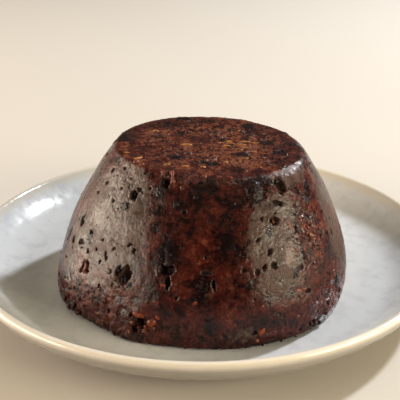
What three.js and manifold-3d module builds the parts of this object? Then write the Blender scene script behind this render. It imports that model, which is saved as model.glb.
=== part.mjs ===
// A Christmas pudding, turned out of its basin onto the plate it is served on.
//
// Millimetres, +Z up. The origin is on the table, at the centre of the plate's foot ring. The pudding
// is one solid that rests on the plate a little in front of its centre.
import * as THREE from "three";
import { mergeVertices } from "three/addons/utils/BufferGeometryUtils.js";
import Module from "manifold-3d";

// ---------------------------------------------------------------- driving dimensions

// Plate: stoneware, with a flat well and a low wall that ends in a rolled lip.
const PLATE_RADIUS = 123; // over the lip
const PLATE_HEIGHT = 25.5; // table to the top of the lip
const WELL_HEIGHT = 8.5; // table to the flat of the well
const WELL_FLAT_RADIUS = 94; // where the well starts to rise
const LIP_WIDTH = 4.2;
const LIP_DEPTH = 3; // top of the lip down to the straight of the wall
const UNDERSIDE_HEIGHT = 2.4; // how far the underside stands clear of the table
const UNDERSIDE_FLAT_RADIUS = 83; // where the underside starts to rise
const FOOT_RING_RADIUS = 71; // middle of the foot ring's flat
const FOOT_RING_WIDTH = 4;
const FOOT_RING_BEVEL = 1.2;
const PLATE_SIDES = 64;

// Pudding: a truncated dome, widest a little above the plate.
const PUDDING_HEIGHT = 71.5;
const WIDEST_RADIUS = 71.5;
const WIDEST_HEIGHT = 13; // above the pudding's foot
const TOP_RADIUS = 45.5;
const FOOT_RADIUS = 69.5;
const BELLY = 1.6; // exponent of the side's curve: 1 is a straight cone
const RIM_ROUND = 1.4; // round of the top edge
const FOOT_ROUND = 1.6; // round of the bottom edge
const ROUND_MIDWAY = 0.3; // where a quarter round's middle lies between its corner and its ends
const RESTING_GAP = 0.3; // the pudding's foot above the well

// How far the pudding is from round and upright.
const FOOT_CENTRE = [-0.2, -17]; // x and y of its middle at the foot
const TOP_CENTRE = [3.1, -9.1]; // and at the top
const OVAL_AZIMUTH = -38; // direction of the long axis
const OVAL_AT_FOOT = 3.3; // the radius gains this along the axis and loses it across
const OVAL_AT_TOP = 2.6;

// Broad swells of the side: azimuth in degrees, height above the foot, how far out, half-width in
// degrees and half-height in millimetres.
const SWELLS = [
  { azimuth: -157, height: 0, out: 5.5, spread: 24, rise: 20 },
  { azimuth: -118, height: 0, out: 3.2, spread: 13, rise: 9 },
  { azimuth: -37, height: PUDDING_HEIGHT, out: 1.8, spread: 24, rise: 20 },
];

// Hollows and clefts that stand out on the side: width across, tall along the side, depth, and the
// turn of the long axis in degrees.
const SIDE_HOLLOWS = [
  { azimuth: -132.4, height: 60.4, width: 2.8, tall: 3.6, depth: 2.4, turn: 15 },
  { azimuth: -59.7, height: 53.8, width: 3.4, tall: 3.2, depth: 1.6, turn: 0 },
  { azimuth: -55.2, height: 60.1, width: 3.8, tall: 2.4, depth: 1.6, turn: 20 },
  { azimuth: -145.6, height: 25.9, width: 2.6, tall: 7.0, depth: 2.6, turn: 24 },
  { azimuth: -124.9, height: 29.6, width: 6.4, tall: 6.2, depth: 3.0, turn: 0 },
  { azimuth: -105.7, height: 34.1, width: 4.8, tall: 7.0, depth: 3.0, turn: 8 },
  { azimuth: -87.1, height: 31.2, width: 1.8, tall: 6.4, depth: 2.2, turn: 10 },
  { azimuth: -114.8, height: 68.6, width: 2.6, tall: 5.0, depth: 2.4, turn: 20 },
  { azimuth: -113.7, height: 10.2, width: 5.0, tall: 4.4, depth: 2.4, turn: -30 },
  { azimuth: -48.8, height: 21.6, width: 2.8, tall: 2.4, depth: 1.6, turn: 0 },
  { azimuth: -36.3, height: 23.9, width: 2.4, tall: 4.4, depth: 1.8, turn: 0 },
  { azimuth: -156.4, height: 32.0, width: 2.4, tall: 2.2, depth: 1.6, turn: 0 },
];

// Dried fruit and peel that stand a little proud of the side: proud is how far.
const SIDE_FRUIT = [
  { azimuth: -64.0, height: 66.0, width: 7.2, tall: 6.0, proud: 0.8, turn: 30 },
  { azimuth: -51.2, height: 65.2, width: 5.4, tall: 5.4, proud: 0.7, turn: 0 },
  { azimuth: -91.4, height: 31.8, width: 6.0, tall: 8.2, proud: 0.8, turn: 12 },
  { azimuth: -149.6, height: 23.6, width: 4.4, tall: 5.6, proud: 1.0, turn: 24 },
  { azimuth: -109.4, height: 13.2, width: 6.0, tall: 4.2, proud: 1.1, turn: -20 },
  { azimuth: -35.3, height: 60.3, width: 5.6, tall: 5.0, proud: 0.7, turn: 0 },
];

// The rest of the fruit and the hollows, strewn evenly by a seeded rule.
const STREWN_SEED = 1225;
const STREWN_ON_SIDE = { fruit: 28, hollows: 26 };
const STREWN_ON_TOP = { fruit: 12, hollows: 8 };
const CLEAR_OF_EACH_OTHER = 9; // least distance between two strewn pieces
const STREWN_HEIGHTS = [7, PUDDING_HEIGHT - 6];
const STREWN_TOP_SHARE = 0.88; // of the way from the middle of the top to its edge
const MOST_TRIES = 4000;
const FRUIT_LENGTH = [5, 8];
const FRUIT_PROUD = [0.5, 0.9];
const FRUIT_FLATNESS = 0.7; // thickness as a share of the smaller width
const HOLLOW_LENGTH = [2.4, 4.6];
const HOLLOW_DEPTH = [1.2, 2.2];

// The crumbly bottom edge: small bites out of it, all the way round.
const EDGE_BITES = 22;
const EDGE_BITE_LENGTH = [3, 7];
const EDGE_BITE_DEPTH = [0.8, 1.8];
const EDGE_BITE_TALL = 4;
const EDGE_BITE_HEIGHT = 1.2; // of its middle

const FACET = 5; // length of a facet's edge on the pudding
const PEBBLE_SIDES = 8; // sides of a piece of fruit or a hollow
const PEBBLE_STACKS = 4;
const SLIVER = 0.02; // edges shorter than this are taken out after the cuts

// ---------------------------------------------------------------- small helpers

const wasm = await Module();
wasm.setup();

const degrees = THREE.MathUtils.degToRad;
const mix = THREE.MathUtils.lerp;

/** A source of repeatable numbers between 0 and 1. */
function seededRandom(seed) {
  let state = seed;
  return () => {
    state = (state + 0x6d2b79f5) | 0;
    let t = Math.imul(state ^ (state >>> 15), 1 | state);
    t = (t + Math.imul(t ^ (t >>> 7), 61 | t)) ^ t;
    return ((t ^ (t >>> 14)) >>> 0) / 4294967296;
  };
}

const random = seededRandom(STREWN_SEED);
const between = ([low, high]) => mix(low, high, random());

/** The smallest angle from one azimuth to another, in degrees. */
function azimuthGap(a, b) {
  return ((a - b + 540) % 360) - 180;
}

/** A closed three.js geometry as a solid that can be joined and cut. */
function toSolid(geometry) {
  const bare = geometry.clone();
  bare.deleteAttribute("normal");
  bare.deleteAttribute("uv");
  const merged = mergeVertices(bare, 1e-4);
  return new wasm.Manifold(
    new wasm.Mesh({
      numProp: 3,
      vertProperties: new Float32Array(merged.attributes.position.array),
      triVerts: new Uint32Array(merged.index.array),
    }),
  );
}

/** A solid's surface as a three.js geometry. */
function toGeometry(solid) {
  const { vertProperties, triVerts, numProp, numVert } = solid.getMesh();
  const positions = new Float32Array(numVert * 3);
  for (let i = 0; i < numVert; i += 1) {
    positions.set(vertProperties.subarray(i * numProp, i * numProp + 3), i * 3);
  }
  const geometry = new THREE.BufferGeometry();
  geometry.setAttribute("position", new THREE.BufferAttribute(positions, 3));
  geometry.setIndex(new THREE.BufferAttribute(new Uint32Array(triVerts), 1));
  geometry.computeVertexNormals();
  return geometry;
}

// ---------------------------------------------------------------- plate

/** Points along a smooth bend through the plane of radius and height, from its four control points. */
function bend(controls, pieces) {
  const [a, b, c, d] = controls.map(([radius, height]) => new THREE.Vector2(radius, height));
  return new THREE.CubicBezierCurve(a, b, c, d).getPoints(pieces);
}

/** The plate's section, from the axis on the underside round to the axis in the well. */
function plateSection() {
  const outerFoot = FOOT_RING_RADIUS + FOOT_RING_WIDTH / 2;
  const innerFoot = FOOT_RING_RADIUS - FOOT_RING_WIDTH / 2;
  const lipInside = PLATE_RADIUS - LIP_WIDTH;
  const underside = [
    new THREE.Vector2(0, UNDERSIDE_HEIGHT),
    new THREE.Vector2(innerFoot - FOOT_RING_BEVEL, UNDERSIDE_HEIGHT),
    new THREE.Vector2(innerFoot, 0),
    new THREE.Vector2(outerFoot, 0),
    new THREE.Vector2(outerFoot + FOOT_RING_BEVEL, UNDERSIDE_HEIGHT),
  ];

  // Outside: a long shallow rise that turns up into the wall.
  const outside = bend(
    [
      [UNDERSIDE_FLAT_RADIUS, UNDERSIDE_HEIGHT + 0.3],
      [UNDERSIDE_FLAT_RADIUS + 19, UNDERSIDE_HEIGHT + 1.6],
      [PLATE_RADIUS - 2.4, WELL_HEIGHT + 4],
      [PLATE_RADIUS, PLATE_HEIGHT - LIP_DEPTH],
    ],
    7,
  );

  // Lip: rolled over from the outside to the inside.
  const lip = bend(
    [
      [PLATE_RADIUS, PLATE_HEIGHT - LIP_DEPTH],
      [PLATE_RADIUS, PLATE_HEIGHT + 0.6],
      [lipInside + 1.2, PLATE_HEIGHT + 0.4],
      [lipInside, PLATE_HEIGHT - 1.2],
    ],
    4,
  );

  // Inside: the wall comes down in a sweep to the flat of the well.
  const inside = bend(
    [
      [lipInside, PLATE_HEIGHT - 1.2],
      [lipInside - 5.6, WELL_HEIGHT + 8],
      [WELL_FLAT_RADIUS + 12, WELL_HEIGHT],
      [WELL_FLAT_RADIUS, WELL_HEIGHT],
    ],
    7,
  );

  const well = new THREE.Vector2(0, WELL_HEIGHT);
  return [...underside, ...outside, ...lip.slice(1), ...inside.slice(1), well];
}

function makePlate() {
  const geometry = new THREE.LatheGeometry(plateSection(), PLATE_SIDES);
  geometry.rotateX(Math.PI / 2);
  return geometry;
}

// ---------------------------------------------------------------- pudding: its form

/** The side's radius at a height above the foot, before the pudding leans or swells. */
function profileRadius(height) {
  if (height < WIDEST_HEIGHT) {
    const down = (WIDEST_HEIGHT - height) / WIDEST_HEIGHT;
    return WIDEST_RADIUS - (WIDEST_RADIUS - FOOT_RADIUS) * down ** 2;
  }
  const up = (height - WIDEST_HEIGHT) / (PUDDING_HEIGHT - WIDEST_HEIGHT);
  return WIDEST_RADIUS - (WIDEST_RADIUS - TOP_RADIUS) * up ** BELLY;
}

/** The pudding's middle at a height above its foot. */
function centreAt(height) {
  const share = height / PUDDING_HEIGHT;
  return [
    mix(FOOT_CENTRE[0], TOP_CENTRE[0], share),
    mix(FOOT_CENTRE[1], TOP_CENTRE[1], share),
  ];
}

/** How much further out than its profile the side is, from its oval shape and its swells. */
function unevenness(azimuth, height) {
  const share = height / PUDDING_HEIGHT;
  const oval = mix(OVAL_AT_FOOT, OVAL_AT_TOP, share);
  let out = oval * Math.cos(2 * degrees(azimuth - OVAL_AZIMUTH));
  for (const swell of SWELLS) {
    const aside = azimuthGap(azimuth, swell.azimuth) / swell.spread;
    const above = (height - swell.height) / swell.rise;
    out += swell.out * Math.exp(-(aside ** 2) - above ** 2);
  }
  return out;
}

/** A point of the side, in the part's frame; inset draws it in towards the middle. */
function sidePoint(azimuth, height, inset = 0) {
  const [x, y] = centreAt(height);
  const radius = profileRadius(height) + unevenness(azimuth, height) - inset;
  return new THREE.Vector3(
    x + radius * Math.cos(degrees(azimuth)),
    y + radius * Math.sin(degrees(azimuth)),
    WELL_HEIGHT + RESTING_GAP + height,
  );
}

/** The outward direction of the side at a point. */
function sideNormal(azimuth, height) {
  const step = 0.5;
  const along = sidePoint(azimuth + step, height).sub(sidePoint(azimuth - step, height));
  const low = Math.max(height - step, 0);
  const high = Math.min(height + step, PUDDING_HEIGHT);
  const up = sidePoint(azimuth, high).sub(sidePoint(azimuth, low));
  return along.cross(up).normalize();
}

/** A ring of points round the pudding, spaced about one facet apart. */
function ring(pointAt, radius, facet = FACET) {
  const count = Math.max(6, Math.round((2 * Math.PI * radius) / facet));
  const points = [];
  for (let i = 0; i < count; i += 1) {
    points.push(pointAt((360 * i) / count));
  }
  return points;
}

/** The pudding's rings, from its foot up the side and in over the top. */
function puddingRings() {
  const rings = [];
  const flat = (height, edgeInset, share) => (azimuth) => {
    const [x, y] = centreAt(height);
    const edge = sidePoint(azimuth, height, edgeInset);
    return new THREE.Vector3(mix(x, edge.x, share), mix(y, edge.y, share), edge.z);
  };

  // The flat underside, in coarse rings.
  for (const share of [0.3, 0.65]) {
    rings.push(ring(flat(0, FOOT_ROUND, share), FOOT_RADIUS * share, FACET * 2));
  }
  rings.push(ring((a) => sidePoint(a, 0, FOOT_ROUND), FOOT_RADIUS));
  const halfRound = FOOT_ROUND * ROUND_MIDWAY;
  rings.push(ring((a) => sidePoint(a, halfRound, halfRound), FOOT_RADIUS));

  // The side.
  const sideSteps = Math.round((PUDDING_HEIGHT - FOOT_ROUND - RIM_ROUND) / FACET);
  for (let i = 0; i <= sideSteps; i += 1) {
    const height = mix(FOOT_ROUND, PUDDING_HEIGHT - RIM_ROUND, i / sideSteps);
    rings.push(ring((a) => sidePoint(a, height), profileRadius(height)));
  }

  // The top edge and the flat top.
  const nearTop = RIM_ROUND * ROUND_MIDWAY;
  rings.push(ring((a) => sidePoint(a, PUDDING_HEIGHT - nearTop, nearTop), TOP_RADIUS));
  const topSteps = Math.round(TOP_RADIUS / FACET);
  for (let i = topSteps; i > 0; i -= 1) {
    const share = i / topSteps;
    rings.push(ring(flat(PUDDING_HEIGHT, RIM_ROUND, share), TOP_RADIUS * share));
  }
  return rings;
}

/** Triangles between two rings that may have different numbers of points. */
function stitch(lower, upper, lowerStart, upperStart, faces) {
  let i = 0;
  let j = 0;
  while (i < lower || j < upper) {
    const a = lowerStart + (i % lower);
    const b = upperStart + (j % upper);
    if ((i + 1) / lower <= (j + 1) / upper) {
      faces.push(a, lowerStart + ((i + 1) % lower), b);
      i += 1;
    } else {
      faces.push(a, upperStart + ((j + 1) % upper), b);
      j += 1;
    }
  }
}

/** The pudding before its fruit and hollows. */
function plainPudding() {
  const rings = puddingRings();
  const floor = WELL_HEIGHT + RESTING_GAP;
  const points = [new THREE.Vector3(...FOOT_CENTRE, floor)];
  const starts = [];
  for (const loop of rings) {
    starts.push(points.length);
    points.push(...loop);
  }
  points.push(new THREE.Vector3(...TOP_CENTRE, floor + PUDDING_HEIGHT));

  const faces = [];
  const first = rings[0].length;
  for (let i = 0; i < first; i += 1) {
    faces.push(0, 1 + ((i + 1) % first), 1 + i);
  }
  for (let k = 1; k < rings.length; k += 1) {
    stitch(rings[k - 1].length, rings[k].length, starts[k - 1], starts[k], faces);
  }
  const last = rings.at(-1).length;
  const lastStart = starts.at(-1);
  for (let i = 0; i < last; i += 1) {
    faces.push(lastStart + i, lastStart + ((i + 1) % last), points.length - 1);
  }

  const geometry = new THREE.BufferGeometry().setFromPoints(points);
  geometry.setIndex(faces);
  return toSolid(geometry);
}

// ---------------------------------------------------------------- pudding: fruit and hollows

/** A small ellipsoid on a surface: across, along and out are its full sizes. */
function pebble(place, normal, across, along, out, turn) {
  const geometry = new THREE.SphereGeometry(1, PEBBLE_SIDES, PEBBLE_STACKS);
  geometry.rotateX(Math.PI / 2);
  geometry.scale(across / 2, along / 2, out / 2);
  geometry.rotateZ(degrees(turn));
  const up = Math.abs(normal.z) > 0.9 ? new THREE.Vector3(0, 1, 0) : new THREE.Vector3(0, 0, 1);
  const right = new THREE.Vector3().crossVectors(up, normal).normalize();
  const rise = new THREE.Vector3().crossVectors(normal, right);
  const frame = new THREE.Matrix4().makeBasis(right, rise, normal).setPosition(place);
  return toSolid(geometry.applyMatrix4(frame));
}

/** A hollow: a pebble centred on the surface, to be cut away. */
function hollow(place, normal, { width, tall, depth, turn }) {
  return pebble(place, normal, width, tall, depth * 2, turn);
}

/** A piece of fruit: a pebble sunk until only its proud part shows, to be joined on. */
function fruit(place, normal, { width, tall, proud, turn }) {
  const thickness = Math.min(width, tall) * FRUIT_FLATNESS;
  const sunk = place.clone().addScaledVector(normal, proud - thickness / 2);
  return pebble(sunk, normal, width, tall, thickness, turn);
}

/** Evenly strewn places on the side or the top, clear of those already taken. */
function strewnPlaces(count, taken, onTop) {
  const places = [];
  for (let tries = 0; places.length < count && tries < MOST_TRIES; tries += 1) {
    const azimuth = between([0, 360]);
    let place;
    let normal;
    if (onTop) {
      const edge = sidePoint(azimuth, PUDDING_HEIGHT, RIM_ROUND);
      const share = Math.sqrt(random()) * STREWN_TOP_SHARE;
      place = new THREE.Vector3(...TOP_CENTRE, edge.z).lerp(edge, share);
      normal = new THREE.Vector3(0, 0, 1);
    } else {
      const height = between(STREWN_HEIGHTS);
      if (random() > profileRadius(height) / WIDEST_RADIUS) {
        continue;
      }
      place = sidePoint(azimuth, height);
      normal = sideNormal(azimuth, height);
    }
    if (taken.every((other) => other.distanceTo(place) > CLEAR_OF_EACH_OTHER)) {
      taken.push(place);
      places.push({ place, normal });
    }
  }
  return places;
}

function strewnFruit({ place, normal }) {
  const tall = between(FRUIT_LENGTH);
  const width = tall * between([0.65, 0.85]);
  return fruit(place, normal, { width, tall, proud: between(FRUIT_PROUD), turn: between([0, 180]) });
}

function strewnHollow({ place, normal }) {
  const tall = between(HOLLOW_LENGTH);
  const width = tall * between([0.55, 0.9]);
  return hollow(place, normal, { width, tall, depth: between(HOLLOW_DEPTH), turn: between([0, 180]) });
}

/** The bites out of the crumbly bottom edge. */
function edgeBites() {
  const bites = [];
  for (let i = 0; i < EDGE_BITES; i += 1) {
    const azimuth = ((i + between([0.15, 0.85])) * 360) / EDGE_BITES;
    const place = sidePoint(azimuth, EDGE_BITE_HEIGHT);
    const normal = sideNormal(azimuth, WIDEST_HEIGHT);
    const width = between(EDGE_BITE_LENGTH);
    const depth = between(EDGE_BITE_DEPTH);
    bites.push(hollow(place, normal, { width, tall: EDGE_BITE_TALL, depth, turn: between([-20, 20]) }));
  }
  return bites;
}

function makePudding() {
  const onSide = ({ azimuth, height }) => sidePoint(azimuth, height);
  const outOf = ({ azimuth, height }) => sideNormal(azimuth, height);
  const taken = [...SIDE_HOLLOWS, ...SIDE_FRUIT].map(onSide);
  const fruits = SIDE_FRUIT.map((piece) => fruit(onSide(piece), outOf(piece), piece));
  const hollows = SIDE_HOLLOWS.map((piece) => hollow(onSide(piece), outOf(piece), piece));

  fruits.push(...strewnPlaces(STREWN_ON_SIDE.fruit, taken, false).map(strewnFruit));
  hollows.push(...strewnPlaces(STREWN_ON_SIDE.hollows, taken, false).map(strewnHollow));
  fruits.push(...strewnPlaces(STREWN_ON_TOP.fruit, taken, true).map(strewnFruit));
  hollows.push(...strewnPlaces(STREWN_ON_TOP.hollows, taken, true).map(strewnHollow));
  hollows.push(...edgeBites());

  const joined = fruits.reduce((all, piece) => all.add(piece), plainPudding());
  const cutAway = hollows.reduce((all, piece) => all.add(piece));
  return toGeometry(joined.subtract(cutAway).simplify(SLIVER));
}

// ---------------------------------------------------------------- the part

function mesh(name, geometry, color, roughness) {
  const material = new THREE.MeshStandardMaterial({ color, roughness, metalness: 0 });
  const made = new THREE.Mesh(geometry, material);
  made.name = name;
  return made;
}

const servedPudding = new THREE.Group();
servedPudding.add(mesh("plate", makePlate(), 0xcfcdc8, 0.22));
servedPudding.add(mesh("pudding", makePudding(), 0x2e1610, 0.38));

export default servedPudding;
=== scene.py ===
# %% [markdown]
# # A Christmas pudding on its plate
#
# A steamed fruit pudding keeps the shape of the basin it was cooked in: a truncated dome with a flat
# top, a smooth skin where it met the pottery, and pits where steam left bubbles. Raisins and bits of
# peel show in that skin. It is served on a low-rimmed stoneware plate. This lesson builds the plate
# and the pudding around a fixed model, lights them as in a food studio, and gives each its finish.
# Sizes are in millimetres in the text and become metres through `MM`.

# %% Load the fixed model
import math

import bpy
import numpy as np
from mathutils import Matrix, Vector


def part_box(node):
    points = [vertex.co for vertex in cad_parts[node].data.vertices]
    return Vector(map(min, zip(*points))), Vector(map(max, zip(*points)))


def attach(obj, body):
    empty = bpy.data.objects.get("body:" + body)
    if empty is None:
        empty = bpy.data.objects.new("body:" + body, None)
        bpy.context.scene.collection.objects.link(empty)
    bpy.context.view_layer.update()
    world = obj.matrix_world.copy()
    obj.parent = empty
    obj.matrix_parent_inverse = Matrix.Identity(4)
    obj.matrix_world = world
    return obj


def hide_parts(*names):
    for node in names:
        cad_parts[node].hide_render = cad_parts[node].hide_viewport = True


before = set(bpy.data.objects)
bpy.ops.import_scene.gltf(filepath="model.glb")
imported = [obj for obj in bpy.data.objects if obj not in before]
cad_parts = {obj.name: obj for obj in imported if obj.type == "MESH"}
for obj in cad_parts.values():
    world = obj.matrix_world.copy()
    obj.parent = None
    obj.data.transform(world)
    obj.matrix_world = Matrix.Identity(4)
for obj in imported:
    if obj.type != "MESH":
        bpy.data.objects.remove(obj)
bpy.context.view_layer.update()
plate_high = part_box("plate")[1]
pudding_low, pudding_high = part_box("pudding")
MM = 0.001
SCENE = bpy.context.scene
print("plate is", round(plate_high.x * 2 / MM, 1), "mm across; pudding stands from",
      round(pudding_low.z / MM, 1), "to", round(pudding_high.z / MM, 1), "mm")

# %% [markdown]
# ## The camera
#
# Food is often taken from a little above the table with a short telephoto lens, which shows the
# front and some of the top without stretching either. The lens is about 84 mm on a 36 mm sensor. An
# orthographic camera would be simpler to place, but it would make the plate's far rim look too big.

# %% The camera
CAMERA_PLACE = (-1.2, -445.4, 240.4)
CAMERA_DOWN = 23.62  # degrees below level
LENS = 83.7
SENSOR = 36.0
NEAREST_SEEN = 0.01  # metres

camera = bpy.data.objects.new("camera", bpy.data.cameras.new("camera"))
SCENE.collection.objects.link(camera)
camera.location = Vector(CAMERA_PLACE) * MM
camera.rotation_euler = (math.radians(90 - CAMERA_DOWN), 0, 0)
camera.data.lens = LENS
camera.data.sensor_width = SENSOR
camera.data.clip_start = NEAREST_SEEN
SCENE.camera = camera
SCENE.view_settings.view_transform = "Standard"
print("camera at", tuple(round(c, 3) for c in camera.location))

# %% [markdown]
# ## Studio light
#
# A dark, moist thing is drawn by what it reflects more than by its colour. A small key lamp behind
# on the right throws a firm shadow towards the front left and lights the plate. Two wide soft boxes
# stand low at the left and at the front right, and their reflections are the two broad sheens on the
# pudding's side. The camera's own side stays dark, so the middle of the pudding does too. One large
# light from above would be simpler, but it would grey the crumb all over and draw no form.

# %% Lamps that face the pudding
AIM = Vector((0, -10, 42)) * MM
LAMPS = [  # name, azimuth and elevation in degrees, metres away, size in metres, watts, shade
    ("key", 38, 39, 1.5, (0.12, 0.12), 29, (0.93, 0.96, 1.0)),
    ("left_box", 178, 11, 1.0, (1.3, 0.42), 21.4, (1.0, 0.84, 0.67)),
    ("front_box", -30, 16, 1.0, (0.58, 0.32), 12.2, (1.0, 0.87, 0.63)),
]


def lamp(name, azimuth, elevation, distance, size, watts, shade):
    """An area lamp that faces the pudding. Azimuth runs from +X towards +Y."""
    data = bpy.data.lights.new(name, "AREA")
    data.shape = "RECTANGLE"
    data.size, data.size_y = size
    data.energy = watts
    data.color = shade
    turn, rise = math.radians(azimuth), math.radians(elevation)
    away = Vector((math.cos(turn) * math.cos(rise), math.sin(turn) * math.cos(rise), math.sin(rise)))
    made = bpy.data.objects.new(name, data)
    SCENE.collection.objects.link(made)
    made.location = AIM + away * distance
    made.rotation_euler = away.to_track_quat("Z", "Y").to_euler()


for row in LAMPS:
    lamp(*row)

# %% [markdown]
# ## Building node trees
#
# Materials and Geometry Nodes are both trees of nodes. They could be written out node by node and
# link by link, but a finish of a hundred nodes would then fill pages. Short helpers keep the lesson
# readable instead: `make` adds a node and joins its inputs, and the others add the commonest ones.
# Only a node's live sockets are counted, since a node hides those its setting doesn't use.

# %% Node helpers
def make(tree, kind, inputs=(), output=0, **settings):
    """Adds a node, sets its options and inputs, and gives one output. Inputs go by name or in order."""
    node = tree.nodes.new(kind)
    for option, value in settings.items():
        setattr(node, option, value)
    live = [socket for socket in node.inputs if socket.enabled]
    pairs = inputs.items() if isinstance(inputs, dict) else enumerate(inputs)
    for key, value in pairs:
        socket = live[key] if isinstance(key, int) else next(s for s in live if s.name == key)
        if isinstance(value, bpy.types.NodeSocket):
            tree.links.new(value, socket)
        elif value is not None:
            socket.default_value = value
    given = [socket for socket in node.outputs if socket.enabled]
    return given[output] if isinstance(output, int) else next(s for s in given if s.name == output)


def maths(tree, operation, *values, clamp=False):
    return make(tree, "ShaderNodeMath", values, operation=operation, use_clamp=clamp)


def times(tree, first, second):
    return maths(tree, "MULTIPLY", first, second)


def plus(tree, first, second):
    return maths(tree, "ADD", first, second)


def minus(tree, first, second):
    return maths(tree, "SUBTRACT", first, second)


def vectors(tree, operation, *values):
    return make(tree, "ShaderNodeVectorMath", values, operation=operation)


def spread(tree, value, low, high, to_low=0.0, to_high=1.0, smooth=True):
    """Maps a value from one range to another, held at the ends."""
    kind = "SMOOTHSTEP" if smooth else "LINEAR"
    return make(tree, "ShaderNodeMapRange", (value, low, high, to_low, to_high), interpolation_type=kind)


def grain(tree, place, size, detail=2.0, rough=0.5, output="Fac"):
    """Noise whose blotches are about this size in metres."""
    return make(tree, "ShaderNodeTexNoise",
                {"Vector": place, "Scale": 1 / size, "Detail": detail, "Roughness": rough}, output)


def blend(tree, share, first, second, data_type="RGBA"):
    """Mixes two colours, or two values with data_type FLOAT."""
    return make(tree, "ShaderNodeMix", {"Factor": share, "A": first, "B": second}, data_type=data_type)


def split(tree, vector, axes="XYZ"):
    """The parts of a vector along these axes."""
    return [make(tree, "ShaderNodeSeparateXYZ", (vector,), axis) for axis in axes]


def dress(tree, shader, base, rough, height, strength, distance):
    """Links a colour, a roughness and a relief to the shader."""
    bump = make(tree, "ShaderNodeBump", {"Strength": strength, "Distance": distance, "Height": height})
    for value, socket in ((base, "Base Color"), (rough, "Roughness"), (bump, "Normal")):
        tree.links.new(value, shader.inputs[socket])


def colour(red, green, blue):
    return (red, green, blue, 1.0)


print("helpers ready")

# %% [markdown]
# ## The room
#
# Beyond the lamps the room gives soft light from a pale ceiling, which fills the shadow on the plate.
# Near the horizon it is dark, and only a little lighter straight behind, because that part is what the
# pudding's top and side mirror towards the camera: a bright wall there would lay a grey veil over the
# dark crumb. A panorama of a real room could light it too. Three colours mixed by direction do the
# same here, and each can be changed on its own.

# %% Room light
ROOM_DARK = colour(0.02, 0.018, 0.015)
ROOM_BEHIND = colour(0.16, 0.14, 0.12)
CEILING = colour(1.0, 0.87, 0.60)
ROOM_STRENGTH = 0.75

world = bpy.data.worlds.new("room")
SCENE.world = world
world.use_nodes = True
room = world.node_tree
room.nodes.clear()
direction = make(room, "ShaderNodeTexCoord", output="Generated")
depth, rise = split(room, direction, "YZ")
horizon = blend(room, spread(room, depth, 0.1, 0.95), ROOM_DARK, ROOM_BEHIND)
room_colour = blend(room, spread(room, rise, 0.66, 1.0), horizon, CEILING)
background = make(room, "ShaderNodeBackground", {"Color": room_colour, "Strength": ROOM_STRENGTH})
room.links.new(background, room.nodes.new("ShaderNodeOutputWorld").inputs["Surface"])
print("room has", len(room.nodes), "nodes")

# %% [markdown]
# ## The table
#
# The table is only a plain pale floor under the plate, since a woven cloth isn't part of this object.
# It matters all the same: its warm white is what fills the shadows.

# %% The floor
FLOOR_HALF = 1.6  # metres
FLOOR_COLOUR = colour(0.50, 0.465, 0.42)
FLOOR_ROUGHNESS = 0.9


def new_material(name, base, roughness, **constants):
    """A Principled material; constants go on the shader's own sockets. Gives it with its tree."""
    material = bpy.data.materials.new(name)
    material.use_nodes = True
    shader = material.node_tree.nodes["Principled BSDF"]
    shader.inputs["Base Color"].default_value = base
    shader.inputs["Roughness"].default_value = roughness
    for socket, value in constants.items():
        shader.inputs[socket.replace("_", " ")].default_value = value
    return material, material.node_tree, shader


def new_mesh_object(name, points, faces):
    mesh = bpy.data.meshes.new(name)
    mesh.from_pydata(points, [], faces)
    made = bpy.data.objects.new(name, mesh)
    SCENE.collection.objects.link(made)
    return made


corners = [(x * FLOOR_HALF, y * FLOOR_HALF, 0) for x, y in ((-1, -1), (1, -1), (1, 1), (-1, 1))]
floor = new_mesh_object("floor", corners, [(0, 1, 2, 3)])
floor.data.materials.append(new_material("pale_floor", FLOOR_COLOUR, FLOOR_ROUGHNESS)[0])
print("floor is", 2 * FLOOR_HALF, "m across")

# %% [markdown]
# ## Running a Geometry Nodes tree
#
# A tree is attached as a modifier, its inputs are set by their identifiers, and the evaluated result
# is kept as a plain mesh. The modifier could stay live instead, so that its sizes could still be
# changed by hand. Here it goes, so that nothing is left to slide when the part moves.

# %% Helpers for Geometry Nodes
VECTOR = "FLOAT_VECTOR"  # the kind of value that has three parts


def new_tree(name, inputs):
    """A Geometry Nodes tree with one geometry in and out; inputs maps a name to its kind and value."""
    inputs = {**inputs, "Material": ("Material", None)}
    tree = bpy.data.node_groups.new(name, "GeometryNodeTree")
    tree.is_modifier = True
    tree.interface.new_socket("Geometry", in_out="OUTPUT", socket_type="NodeSocketGeometry")
    tree.interface.new_socket("Geometry", in_out="INPUT", socket_type="NodeSocketGeometry")
    for label, (kind, value) in inputs.items():
        socket = tree.interface.new_socket(label, in_out="INPUT", socket_type="NodeSocket" + kind)
        if value is not None:
            socket.default_value = value
    return tree, tree.nodes.new("NodeGroupInput").outputs


def end_tree(tree, given, geometry):
    """Ends a tree with real geometry that wears the tree's material."""
    real = make(tree, "GeometryNodeRealizeInstances", (geometry,))
    finished = make(tree, "GeometryNodeSetMaterial", {"Geometry": real, "Material": given["Material"]})
    tree.links.new(finished, tree.nodes.new("NodeGroupOutput").inputs[0])


def run_tree(piece, tree, values):
    """Runs a tree on an object and keeps what it makes as the object's own mesh."""
    modifier = piece.modifiers.new(tree.name, "NODES")
    modifier.node_group = tree
    sockets = {s.name: s.identifier for s in tree.interface.items_tree if s.in_out == "INPUT"}
    for label, value in values.items():
        modifier[sockets[label]] = value
    graph = bpy.context.evaluated_depsgraph_get()
    result = bpy.data.meshes.new_from_object(
        piece.evaluated_get(graph), preserve_all_data_layers=True, depsgraph=graph)
    piece.modifiers.clear()
    piece.data = result


def read(tree, name, kind="FLOAT"):
    """A named attribute of the geometry."""
    return make(tree, "GeometryNodeInputNamedAttribute", {"Name": name}, data_type=kind)


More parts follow.
